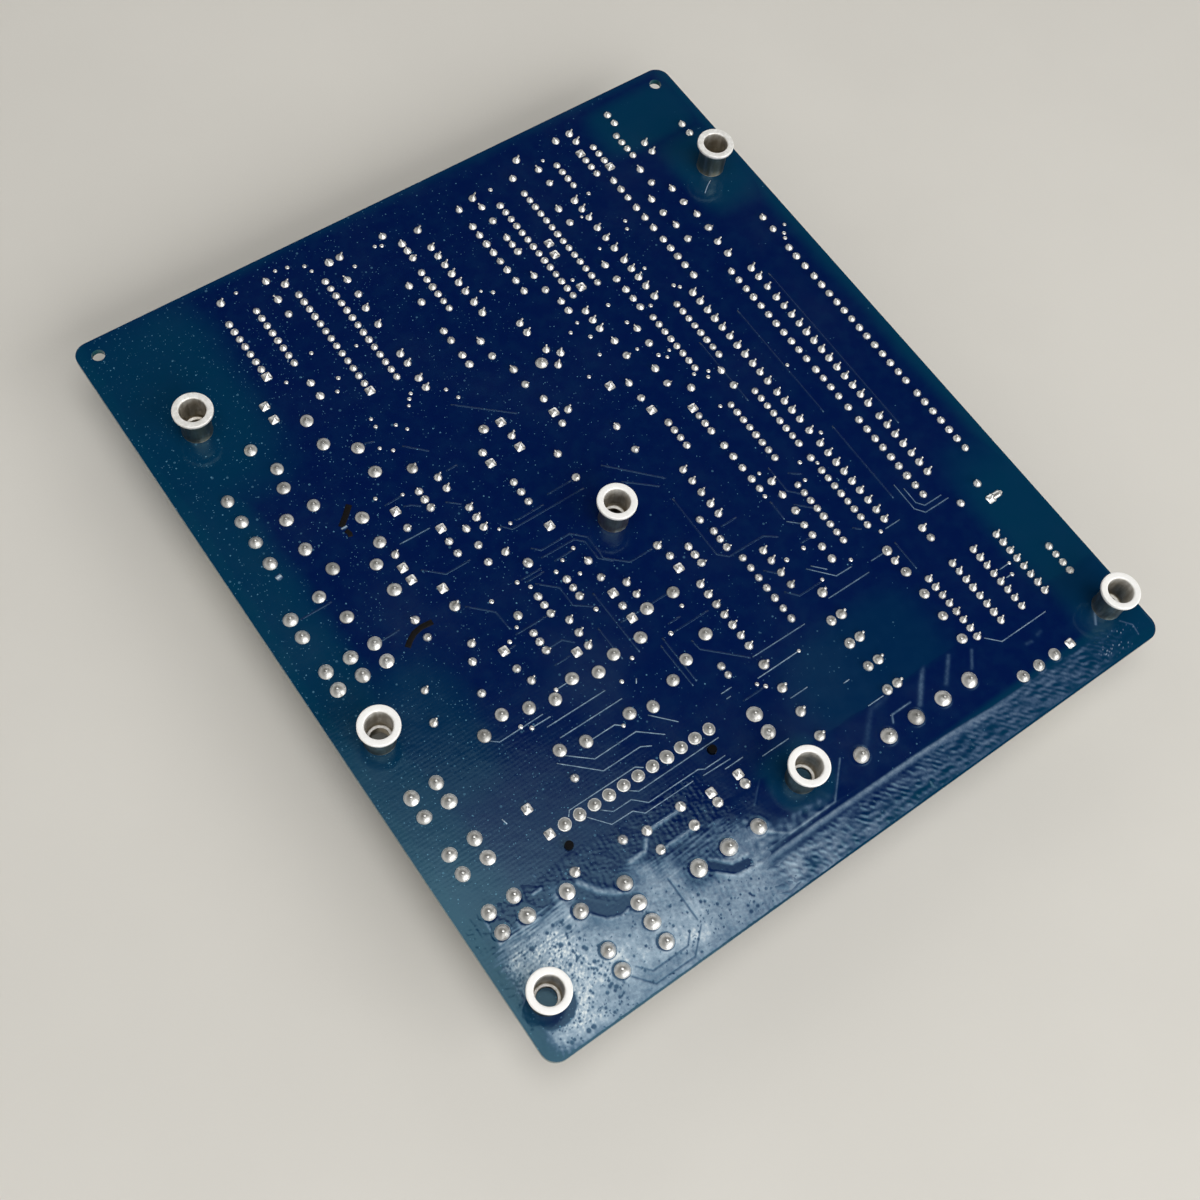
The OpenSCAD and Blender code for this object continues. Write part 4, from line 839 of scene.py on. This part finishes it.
def leftShape(x, y):
    cloud, fine = ripples(x, y, 0.20, 24, 3), ripples(x, y, 0.05, 48, 4)
    streak = ripples(x, y, 0.030, 24, 5, stretch=(10, 1))
    nearBorder = step(-y, -0.22, -0.06) * step(x, 0.5, 0.9)
    film = np.maximum(patches(x, y, leftCoat["film"]), 0.40 * nearBorder)
    film *= 0.94 + 0.08 * cloud + 0.07 * fine
    brushed = step(y, 0.62, 0.85) * step(-y, -1.25, -1.05) * step(-x, -1.05, -0.75)
    fainter = 0.08 * step(y, 0.6, 0.8) * step(-y, -1.05, -0.9) * step(x, 1.4, 1.7)
    film += 0.17 * brushed * streak + fainter * streak
    # a net of thick flux round the corner spacer, its paleness partly painted sheen
    thick = within(x, y, (0.40, 0.62, 0.42, 0.42), 1.1, 0.6)
    thick = np.maximum(thick, 0.7 * within(x, y, (0.50, 0.22, 0.28, 0.16), 1.1, 0.5))
    net = step(ripples(x, y, 0.030, 44, 6), -0.5, 0.9)
    film += thick * (0.02 + 0.26 * net)
    film += 0.16 * step(-x, -0.45, -0.15) * step(-y, -0.45, -0.15) * step(fine, -0.2, 1.2)
    dips = np.zeros_like(x)
    for values in leftCoat["pits"]:
        dips = np.maximum(dips, pits(x, y, *values))
    film *= 1 - 0.80 * dips
    height = 0.014 * cloud + 0.009 * fine - 0.035 * dips + 0.016 * thick * net + 0.004 * streak * brushed
    for path, halfWidth, strength in leftCoat["paleBands"]:
        line = ridge(x, y, path, halfWidth)
        film += strength * line * (0.8 - film) * (0.9 + 0.15 * fine)
        height += 0.05 * line
    dark = np.zeros_like(x)
    for path, halfWidth in leftCoat["darkBands"]:
        dark = np.maximum(dark, step(-pathDistance(x, y, path), -1.25 * halfWidth, -0.75 * halfWidth))
    film *= 1 - 0.9 * dark
    height -= 0.05 * dark
    for path in leftCoat["grooves"]:
        line = ridge(x, y, path, 0.008)
        film *= 1 - 0.75 * line
        height += 0.03 * ridge(x, y, path, 0.022) - 0.06 * line
    cx, cy, reach = leftCoat["foot"]
    cleanAndLit = step(-np.hypot(x - cx, y - cy), -reach - 0.02 - 0.015 * cloud.clip(-1, 1), -reach + 0.02)
    film *= (1 - cleanAndLit) * (0.30 + 0.70 * step(x, 0.06, 0.20) * (1 - 0.35 * step(-y, -0.04, -0.01)))
    height *= 1 - 0.9 * cleanAndLit
    height += 0.02 * ridge(x, y, [(0.13, 0.3), (0.12, 1.45)], 0.012)
    film *= 1 - patches(x, y, leftCoat["thinner"]) + patches(x, y, leftCoat["thicker"])
    copper = step(x, 0.20, 0.3) * step(y, 0.0, 0.12) * (1 - cleanAndLit)
    return height, film, copper, step(-y, -1.47, -1.25)


rightCoat = {
    "crestX": (2.3, 3.1, 4.2, 4.7, 5.1, 5.6, 6.2),
    "crestY": (0.375, 0.380, 0.365, 0.345, 0.320, 0.315, 0.30),
    "above": 0.016, "under": 0.040,         # how fast the crest falls off on each side
    "crustAndGlints": [(6.56, 0.16, 0.30, 0.12, 1.0)],
    "residueAndGlare": [(2.50, 0.62, 0.22, 0.20, 0.33), (2.62, 0.52, 0.3, 0.12, 0.18),
                (3.02, 0.50, 0.34, 0.09, 0.16)],
    "slant": {"wavelength": 0.055, "waves": 60, "seed": 22, "stretch": (1.9, 1), "turn": math.radians(-38)},
    # path, half width, paleness, which paints a highlight along the band, and rise
    "bands": [([(2.60, 0.62), (2.82, 0.445), (3.33, 0.445), (3.62, 0.73)], 0.010, 0.22, 0.04),
              ([(2.72, 0.82), (2.92, 1.0)], 0.010, 0.12, 0.03),
              ([(3.90, 0.70), (4.15, 0.93), (4.35, 0.95)], 0.035, 0.10, 0.04),
              ([(4.24, 0.72), (4.28, 0.785), (4.50, 0.785)], 0.010, 0.30, 0.05),
              ([(4.56, 0.72), (4.85, 1.02)], 0.03, 0.20, 0.05),
              ([(4.90, 0.74), (5.10, 0.94)], 0.025, 0.17, 0.05),
              ([(5.20, 0.72), (5.32, 0.86)], 0.02, 0.16, 0.05),
              ([(5.80, 0.62), (5.86, 0.61)], 0.022, 0.12, 0.06),
              ([(5.95, 0.63), (6.0, 0.64)], 0.022, 0.12, 0.06),
              ([(6.72, 0.30), (6.80, 0.20), (6.78, 0.10)], 0.008, 0.22, 0.05),
              ([(6.50, 0.40), (6.58, 0.50)], 0.015, 0.30, 0.03)],
}


def rightShape(x, y):
    # a long raised crest along the border with a painted highlight on it; under it slanting strokes,
    # stronger at the left
    slant = rightCoat["slant"]
    slow, fine = ripples(x, y, 0.30, 20, 21), ripples(x, y, 0.03, 40, 23)
    # painted light and shade on the slopes of the strokes
    shade = np.clip(ripples(x, y + 0.006, **slant) - ripples(x, y - 0.006, **slant), -1.2, 1.2)
    below = step(-y, -0.345, -0.27)
    lumps = step(ripples(x, y, **slant), -0.1, 1.3) * below * step(-x, -6.95, -6.5)
    lumps *= 0.55 + 0.45 * step(-x, -6.2, -2.6)
    offset = y - np.interp(x, rightCoat["crestX"], rightCoat["crestY"])
    crest = np.exp(-(offset / np.where(offset > 0, rightCoat["above"], rightCoat["under"])) ** 2)
    crest *= step(-x, -6.1, -4.4)
    second = ridge(x, y, [(2.4, 0.44), (3.2, 0.44), (3.9, 0.42)], 0.010) * step(-x, -3.9, -3.0)
    height = 0.012 * slow + 0.10 * lumps + 0.008 * fine * below + 0.07 * crest + 0.03 * second
    film = 0.36 * crest + 0.12 * second
    film += below * (0.25 * step(-x, -3.9, -2.4) + 0.17 * step(-x, -7.0, -5.8)) * (0.85 + 0.25 * slow)
    film *= 1 - 0.30 * lumps * step(-x, -6.6, -3.2)
    film += 0.09 * shade * below * step(-x, -6.95, -6.3) * step(y, 0.02, 0.06)
    # the crust spots are raised, and their pale film paints glints near the right corner
    crustAndGlints = patches(x, y, rightCoat["crustAndGlints"]) * step(ripples(x, y, 0.030, 44, 25) + 0.6 * slow, 1.2, 1.9)
    # residue patches, whose paleness is partly painted glare
    residueAndGlare, uneven = patches(x, y, rightCoat["residueAndGlare"]), ripples(x, y, 0.09, 30, 24)
    film += 0.60 * crustAndGlints + residueAndGlare * (0.75 + 0.35 * uneven)
    height += 0.05 * crustAndGlints + 0.05 * residueAndGlare * uneven
    for path, halfWidth, strength, rise in rightCoat["bands"]:
        band = ridge(x, y, path, halfWidth)
        film += strength * band
        height += rise * band
    copper = step(y, 0.34, 0.42) * (1 - step(-np.hypot(x - 3.209, y - 0.78), -0.36, -0.28))
    return height, film, copper * (1 - 0.75 * step(x, 6.2, 6.5)), step(-y, -1.04, -0.92)


print("coats:", [layCoat(name) for name in coatPieces])


# radii and heights in mm over the mask; grey darkens the two spacers near the far side
spacerShape = {"outer": 3.60, "inner": 3.15, "rim": 4.80, "rimThick": 0.9, "height": 9.0, "hole": 2.25,
               "foot": 1.0, "segments": 72, "grey": 0.82, "greyBeyond": 50 * mm}


def spacerProfile():
    # radius, level and brightness along the section: the collar under the board, the outer wall,
    # the rim with rounded edges, the inner wall, and the foot with its hole; the brightness keeps the rim
    # white and paints shade on the outer wall and deepening down the inner wall into the hole
    keys = ("outer", "inner", "rim", "rimThick", "height", "hole", "foot")
    outer, inner, rim, thick, top, hole, foot = (spacerShape[key] for key in keys)
    under = top - thick
    return np.array([
        (hole, -2.1, 0.2), (3.20, -2.1, 0.3), (3.40, -1.9, 0.3), (3.40, -1.6, 0.3), (2.70, -1.6, 0.3),
        (2.70, 0.0, 0.3), (outer + 0.06, 0.0, 0.3), (outer, 0.12, 0.3), (outer, 2.5, 0.35),
        (outer, 5.5, 0.35),
        (outer, under - 0.25, 0.4), (outer + 0.08, under - 0.06, 0.4), (outer + 0.3, under, 0.5),
        (rim - 0.16, under, 0.7), (rim - 0.04, under + 0.05, 0.8), (rim, under + 0.17, 0.9),
        (rim, top - 0.20, 0.95), (rim - 0.05, top - 0.07, 1.0), (rim - 0.17, top - 0.01, 1.0),
        (rim - 0.35, top, 1.0), (inner + 0.42, top, 1.0), (inner + 0.22, top - 0.03, 1.0),
        (inner + 0.08, top - 0.14, 0.9), (inner, top - 0.40, 0.7), (inner, 6.0, 0.52), (inner, 3.2, 0.42),
        (inner, 1.45, 0.30), (inner - 0.12, 1.18, 0.35), (inner - 0.35, foot + 0.03, 0.7),
        (hole + 0.25, foot, 0.75), (hole + 0.08, foot - 0.03, 0.7), (hole, foot - 0.15, 0.3)])


def spacerMetal():
    # rough bright rims, and tubes that are brown-grey inside and streaked outside: the bright attribute
    # paints shade down the tube, and a noise adds stains
    paint = Paint("spacerMetal")
    bright = paint.attribute("bright")
    streak = paint.noise(900, 3, point=paint.stretched((1, 1, 0.12)))
    stain = paint.ramp(paint.times(paint.noise(420, 5, 0.65), streak), 0.12, 0.42, -0.18, 0.10)
    stainAndShade = paint.ramp(paint.calc("ADD", bright, stain), 0.05, 0.95)
    paint.put("Base Color", paint.blend(stainAndShade, (0.36, 0.31, 0.23), (1.0, 0.99, 0.96)))
    paint.put("Metallic", paint.ramp(bright, 0.3, 1.0, 1.0, 0.35))
    paint.put("Roughness", paint.ramp(bright, 0.2, 1.0, 0.30, 0.62))
    paint.bump(paint.noise(1800, 3), 0.02 * mm)
    return paint.material


def spacerLathe():
    # the profile turned round each centre; a band of quads joins its last ring to the first one
    centres = groupCentres(nodePoints("spacers"), 12 * mm)
    radius, level, cleanAndLit = spacerProfile().T
    count, segments, rings = len(centres), spacerShape["segments"], len(radius)
    points = turned(centres, radius[None, :, None], level[None], turns(segments))
    turn = np.arange(segments)
    after = (turn + 1) % segments
    first = np.arange(count)[:, None] * rings * segments
    last = first + (rings - 1) * segments
    closing = np.stack([last + turn, last + after, first + after, first + turn], -1).reshape(-1, 4)
    grey = np.where(centres[:, 1:] > spacerShape["greyBeyond"], spacerShape["grey"], 1.0)
    faces = [ringFaces(count, rings, segments)[0], closing]
    piece = ridedPiece("spacerTubes", points, faces, spacerMetal(), "plated_spacer", sharpAngle=50,
                       bright=np.repeat(cleanAndLit * grey, segments))
    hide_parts("spacers")
    return count


print("spacers:", spacerLathe())


tinned = (0.72, 0.71, 0.68)
leadPath = {"bend": 0.8, "bendSteps": 4, "end": -1.6}
resistorKind = {
    "lead": 0.30, "axis": 1.45, "segments": 14, "roughness": 0.32, "slot": "resistor_coat",
    "colour": (0.55, 0.36, 0.18), "drawn": True,
    "bands": {4: None, 8: None, 10: None, 15: (0.48, 0.33, 0.08)},
    "profile": ((-3.15, 0.30), (-3.15, 0.6325), (-3.03, 0.9775), (-2.75, 1.15), (-2.40, 1.15),
                (-1.90, 1.15), (-1.55, 1.0925), (-1.15, 0.92), (-1.05, 0.92), (-0.55, 0.92),
                (0.15, 0.92), (0.65, 0.92), (1.15, 0.92), (1.55, 1.0925), (1.80, 1.15),
                (2.30, 1.15), (2.75, 1.15), (3.03, 0.9775), (3.15, 0.6325), (3.15, 0.30)),
}
# lead radius, axis below the board, and the body's profile as place and radius, all in mm; a colour
# band fills the stretch after the ring it names, in its own colour or else a drawn one
axialKinds = {
    "resistors_right": resistorKind,
    "resistors_middle": resistorKind,
    "resistors_left": resistorKind,
    "power_resistors": {
        "lead": 0.45, "axis": 3.0, "segments": 20, "roughness": 0.62, "slot": "power_resistor_coat",
        "colour": (0.24, 0.30, 0.33), "drawn": True, "bands": {4: None, 6: None, 8: None},
        "profile": ((-6.0, 0.45), (-6.0, 1.7), (-5.85, 2.08), (-5.5, 2.2), (-3.8, 2.2), (-2.8, 2.2),
                    (-1.6, 2.2), (-0.6, 2.2), (0.6, 2.2), (1.6, 2.2), (5.5, 2.2), (5.85, 2.08),
                    (6.0, 1.7), (6.0, 0.45)),
    },
    "diodes": {
        "lead": 0.30, "axis": 1.6, "segments": 14, "roughness": 0.32, "slot": "black_moulding",
        "colour": (0.02, 0.02, 0.022), "drawn": False, "bands": {3: (0.80, 0.80, 0.78)},
        "profile": ((-2.6, 0.30), (-2.6, 1.118), (-2.48, 1.3), (1.1, 1.3), (1.85, 1.3), (2.48, 1.3),
                    (2.6, 1.118), (2.6, 0.30)),
    },
}
bandColours = ((0.02, 0.02, 0.02), (0.16, 0.055, 0.02), (0.55, 0.03, 0.02), (0.75, 0.22, 0.02),
               (0.75, 0.60, 0.05), (0.03, 0.22, 0.07), (0.03, 0.08, 0.45), (0.20, 0.06, 0.35),
               (0.25, 0.25, 0.25), (0.80, 0.80, 0.78))


def axialRows(half, kind):
    # rings along one path: up from the solder side, round the bend, along the body's profile and
    # back down; each row holds a ring's place across, its depth, the path's turn and the radius
    bend, axis = leadPath["bend"], kind["axis"]
    rows = [(-half, leadPath["end"], 0.0), (-half, axis - bend, 0.0)]
    for a in np.linspace(0, math.pi / 2, leadPath["bendSteps"] + 1)[1:]:
        rows.append((-half + bend * (1 - math.cos(a)), axis - bend + bend * math.sin(a), a))
    up = [(*row, kind["lead"]) for row in rows]
    down = [(-across, depth, math.pi - a, kind["lead"]) for across, depth, a in rows[::-1]]
    return np.array(up + [(place, axis, math.pi / 2, radius) for place, radius in kind["profile"]] + down)


def bandedMaterial(name, roughness):
    # lacquered body with painted bands, and tinned leads
    paint = Paint(name + "Lacquer", IOR=1.5)
    metal = paint.attribute("metal")
    cloud = paint.ramp(paint.noise(1200, 4), 0.3, 0.7, 0.80, 1.05)
    values = {0: paint.attribute("tint", "Color"), 3: cloud}
    shaded = paint.node("ShaderNodeVectorMath", values, operation="SCALE").outputs[0]
    paint.put("Base Color", paint.blend(metal, shaded, tinned))
    paint.put("Metallic", metal)
    paint.put("Roughness", paint.ramp(paint.noise(900, 3), 0.3, 0.7, roughness * 0.8, roughness * 1.2))
    paint.bump(paint.noise(2200, 3), 0.03 * mm)
    return paint.material


def axialParts(node):
    # place = middle + (across - r cos t cos a, r sin a), depth = depth + r sin t cos a, where t is the
    # path's turn and a goes round the ring
    kind = axialKinds[node]
    segments = kind["segments"]
    ends = leadEnds(node)
    ends = ends[rowOrder(ends, 0, 1)]
    angle = turns(segments)
    start = 2 + leadPath["bendSteps"]
    allPoints, tints = [], []
    for (x0, y0), (x1, _) in zip(ends[0::2], ends[1::2]):
        rows = axialRows((x1 - x0) / mm / 2, kind)
        across, depth, turn, ring = rows.T[..., None]
        x = (x0 + x1) / 2 + mm * (across - ring * np.cos(turn) * np.cos(angle))
        z = boardUnder - mm * (depth + ring * np.sin(turn) * np.cos(angle))
        allPoints.append(np.stack([x, y0 + mm * ring * np.sin(angle), z], -1))
        tint = np.tile((*kind["colour"], 1.0), (len(rows), 1))
        for band, colour in kind["bands"].items():
            pick = rng.integers(0, 10) if kind["drawn"] else 0
            tint[start + band:start + band + 2, :3] = colour or bandColours[pick]
        tints.append(np.repeat(tint, segments, 0))
    metal = np.ones(len(rows))
    metal[start + 1:start + len(kind["profile"]) - 1] = 0
    count = len(allPoints)
    piece = ridedPiece(node.replace("_", "") + "Dressed", np.stack(allPoints).reshape(-1, 3),
                       ringFaces(count, len(rows), segments), bandedMaterial(node, kind["roughness"]),
                       kind["slot"], sharpAngle=48, metal=np.tile(np.repeat(metal, segments), count))
    layer = piece.data.attributes.new("tint", "FLOAT_COLOR", "POINT")
    layer.data.foreach_set("color", np.concatenate(tints).astype(np.float32).ravel())
    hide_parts(node)
    return count


for node in axialKinds:
    print(node, axialParts(node))


def clouded(name, colour, roughness, spread, metallic=0.0, perMetre=500, grain=0.02):
    # a plain surface with slow colour change, uneven gloss and a fine grain
    paint = Paint(name, Metallic=metallic)
    dark = tuple(c * (1 - spread) for c in colour)
    paint.put("Base Color", paint.blend(paint.ramp(paint.noise(perMetre, 5, 0.6), 0.3, 0.7), dark, colour))
    rough = (roughness * 0.8, min(roughness * 1.2, 1))
    paint.put("Roughness", paint.ramp(paint.noise(perMetre * 1.7, 4), 0.3, 0.7, *rough))
    paint.bump(paint.noise(2500, 4), grain * mm)
    return paint


def covered(paint, share, colour):
    # another colour where share is 1
    under = paint.shader.inputs["Base Color"].links[0].from_socket
    paint.put("Base Color", paint.blend(share, under, colour))


def withMetal(paint, share, colour=tinned):
    # turns the surface into metal where share is 1
    covered(paint, share, colour)
    paint.put("Metallic", share)
    return paint.material


# colour, roughness, depth below the board where the leads end and the body starts (mm)
bodies = {
    "disc_capacitors": ((0.52, 0.20, 0.035), 0.28, 0.62), "varistors": ((0.012, 0.045, 0.22), 0.30, 0.62),
    "film_capacitors": ((0.42, 0.018, 0.012), 0.25, 0.31),
    "transistors": ((0.022, 0.022, 0.023), 0.50, 2.49), "status_leds": ((0.50, 0.008, 0.006), 0.12, 2.99),
    "resistor_network": ((0.020, 0.020, 0.021), 0.45, 0.41),
    "main_relay": ((0.013, 0.013, 0.014), 0.36, 0.39),
}
for node in ("blower_relay", "heat_relay", "cool_relay", "inducer_relay", "igniter_relay"):
    bodies[node] = ((0.010, 0.012, 0.016), 0.38, 0.39)
for node in ("gas_valve_relay", "fan_relay"):
    bodies[node] = ((0.012, 0.030, 0.085), 0.34, 0.39)
# colour, roughness and how metallic
nylon = ((0.72, 0.68, 0.56), 0.38, 0.0)
pinTin = ((0.78, 0.74, 0.62), 0.25, 1.0)
phenolic = ((0.018, 0.018, 0.019), 0.36, 0.0)
plain = {
    "heat_sink": ("sink", (0.016, 0.016, 0.018), 0.42, 0.6),
    "quick_connect_tabs": ("tabBrass", (0.80, 0.72, 0.50), 0.28, 1.0),
    "terminal_screws": ("screwSteel", (0.70, 0.69, 0.64), 0.30, 1.0),
    "power_header": ("nylonPower", *nylon), "sensor_header": ("nylonSensor", *nylon),
    "harness_pins": ("pinTin", *pinTin), "power_pins": ("pinTinPower", *pinTin),
    "sensor_pins": ("pinTinSensor", *pinTin), "thermostat_strip": ("phenolic", *phenolic),
    "common_strip": ("phenolicCommon", *phenolic),
}
chips = ["main_controller", "second_controller", "timer_chip", "driver_chip", "logic_chip_upper",
         "logic_chip_lower", "display_driver_left", "display_driver_right", "memory_chip",
         "sense_amplifier", "comparator"]
# where the metal of other parts starts, in mm: from the middle of a chip, from the low side of the
# regulator, and below the board
metalFrom = {"chipLegs": 3.215, "regulatorTab": 1.305, "regulatorLeads": 1.09, "canLeads": 0.29,
             "canEnd": (11.55, 11.65), "pins": 2.545}


def dressNode(node, material):
    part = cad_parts[node]
    part.data.materials.clear()
    part.data.materials.append(material)


def deeper(paint, depth, operation="LESS_THAN"):
    # 1 where the surface lies deeper below the board than depth, or the reverse
    return paint.calc(operation, paint.split()[2], boardUnder - depth * mm)


def nearer(paint, depth):
    return deeper(paint, depth, "GREATER_THAN")


def bodyMaterial(node):
    colour, roughness, depth = bodies[node]
    paint = clouded(node + "Coat", colour, roughness, 0.25)
    return withMetal(paint, nearer(paint, depth))


def chipMaterial(node):
    # epoxy between the two rows of tinned legs
    low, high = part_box(node)
    paint = clouded(node + "Epoxy", (0.026, 0.026, 0.028), 0.52, 0.3, grain=0.04)
    offset = paint.calc("ABSOLUTE", paint.calc("SUBTRACT", paint.split()[0], (low.x + high.x) / 2))
    return withMetal(paint, paint.calc("GREATER_THAN", offset, metalFrom["chipLegs"] * mm))


def canMaterial():
    # dark sleeve, with the bare end of the can and its bare leads
    paint = clouded("canSleeve", (0.018, 0.020, 0.045), 0.24, 0.2)
    start, stop = metalFrom["canEnd"]
    end = paint.times(deeper(paint, start), nearer(paint, stop))
    return withMetal(paint, paint.calc("MAXIMUM", end, nearer(paint, metalFrom["canLeads"])))


def pinCarrierMaterial(name):
    paint = clouded(name + "Carrier", (0.020, 0.020, 0.021), 0.42, 0.2)
    return withMetal(paint, deeper(paint, metalFrom["pins"]), (0.80, 0.66, 0.34))


def regulatorMaterial():
    paint = clouded("regulatorBody", (0.022, 0.022, 0.023), 0.48, 0.3)
    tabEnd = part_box("regulator")[0].x + metalFrom["regulatorTab"] * mm
    tab = paint.calc("LESS_THAN", paint.split()[0], tabEnd)
    return withMetal(paint, paint.calc("MAXIMUM", tab, nearer(paint, metalFrom["regulatorLeads"])))


def headerMaterial():
    # natural nylon, near black where it stands out over the board at the pegs
    paint = clouded("nylonHarness", *nylon[:2], 0.18)
    peg = nearer(paint, -0.01)
    covered(paint, peg, (0.002, 0.002, 0.0025))
    paint.put("Specular IOR Level", paint.scaled(peg, -0.42, 0.5))
    return paint.material


for node in bodies:
    dressNode(node, bodyMaterial(node))
for node, (name, colour, roughness, metallic) in plain.items():
    dressNode(node, clouded(name, colour, roughness, 0.18, metallic).material)
for node in chips:
    dressNode(node, chipMaterial(node))
dressNode("harness_header", headerMaterial())
dressNode("electrolytic_capacitors", canMaterial())
dressNode("link_header", pinCarrierMaterial("link"))
dressNode("diagnostic_header", pinCarrierMaterial("diagnostic"))
dressNode("regulator", regulatorMaterial())
dressNode("circuit_board", maskPlain)
print("component side dressed")


# stray pen strokes and a bridge of solder: path in inches and width in mm
penStrokes = [
    ([(1.335, 5.195), (1.25, 5.115), (1.155, 5.035)], 1.50),
    ([(1.172, 4.985), (1.185, 4.94), (1.175, 4.905)], 1.20),
    ([(1.335, 3.790), (1.22, 3.800), (1.14, 3.785), (1.07, 3.745), (1.015, 3.70)], 1.40),
]
solderBridge = [([(6.515, 1.962), (6.665, 1.962)], 1.75)]


def layStrokes(strokes, height, every=0.03):
    paths, widths = zip(*strokes)
    return sweepRibbons([closer(path, every) for path in paths], widths, [height] * len(paths))


penInk = clouded("penInk", (0.003, 0.002, 0.0018), 0.6, 0.5, perMetre=900)
penInk.shader.inputs["Specular IOR Level"].default_value = 0.15
ridedPiece("penStrokes", *layStrokes(penStrokes, 0.035), penInk.material, "solder_mask_laminate")
bridgePoints, bridgeFaces = layStrokes(solderBridge, 0.40)
ridedPiece("solderBridge", bridgePoints, bridgeFaces, tinSolder, "solder",
           tone=np.full(len(bridgePoints), 0.9))
print("strokes:", len(penStrokes))


floorFinish = {"colour": (0.70, 0.675, 0.62), "dark": 0.96, "roughness": 0.55, "reach": 6.0}


def makeFloor():
    colour, reach = floorFinish["colour"], floorFinish["reach"]
    paint = Paint("paleTable", Roughness=floorFinish["roughness"])
    dark = tuple(c * floorFinish["dark"] for c in colour)
    paint.put("Base Color", paint.blend(paint.ramp(paint.noise(9, 4), 0.3, 0.7), dark, colour))
    paint.bump(paint.noise(1500, 3), 0.02 * mm)
    mesh = bpy.data.meshes.new("table")
    corners = [(-reach, -reach, 0), (reach, -reach, 0), (reach, reach, 0), (-reach, reach, 0)]
    mesh.from_pydata(corners, [], [(0, 1, 2, 3)])
    mesh.materials.append(paint.material)
    table = bpy.data.objects.new("table", mesh)
    scene.collection.objects.link(table)


makeFloor()

print("done")
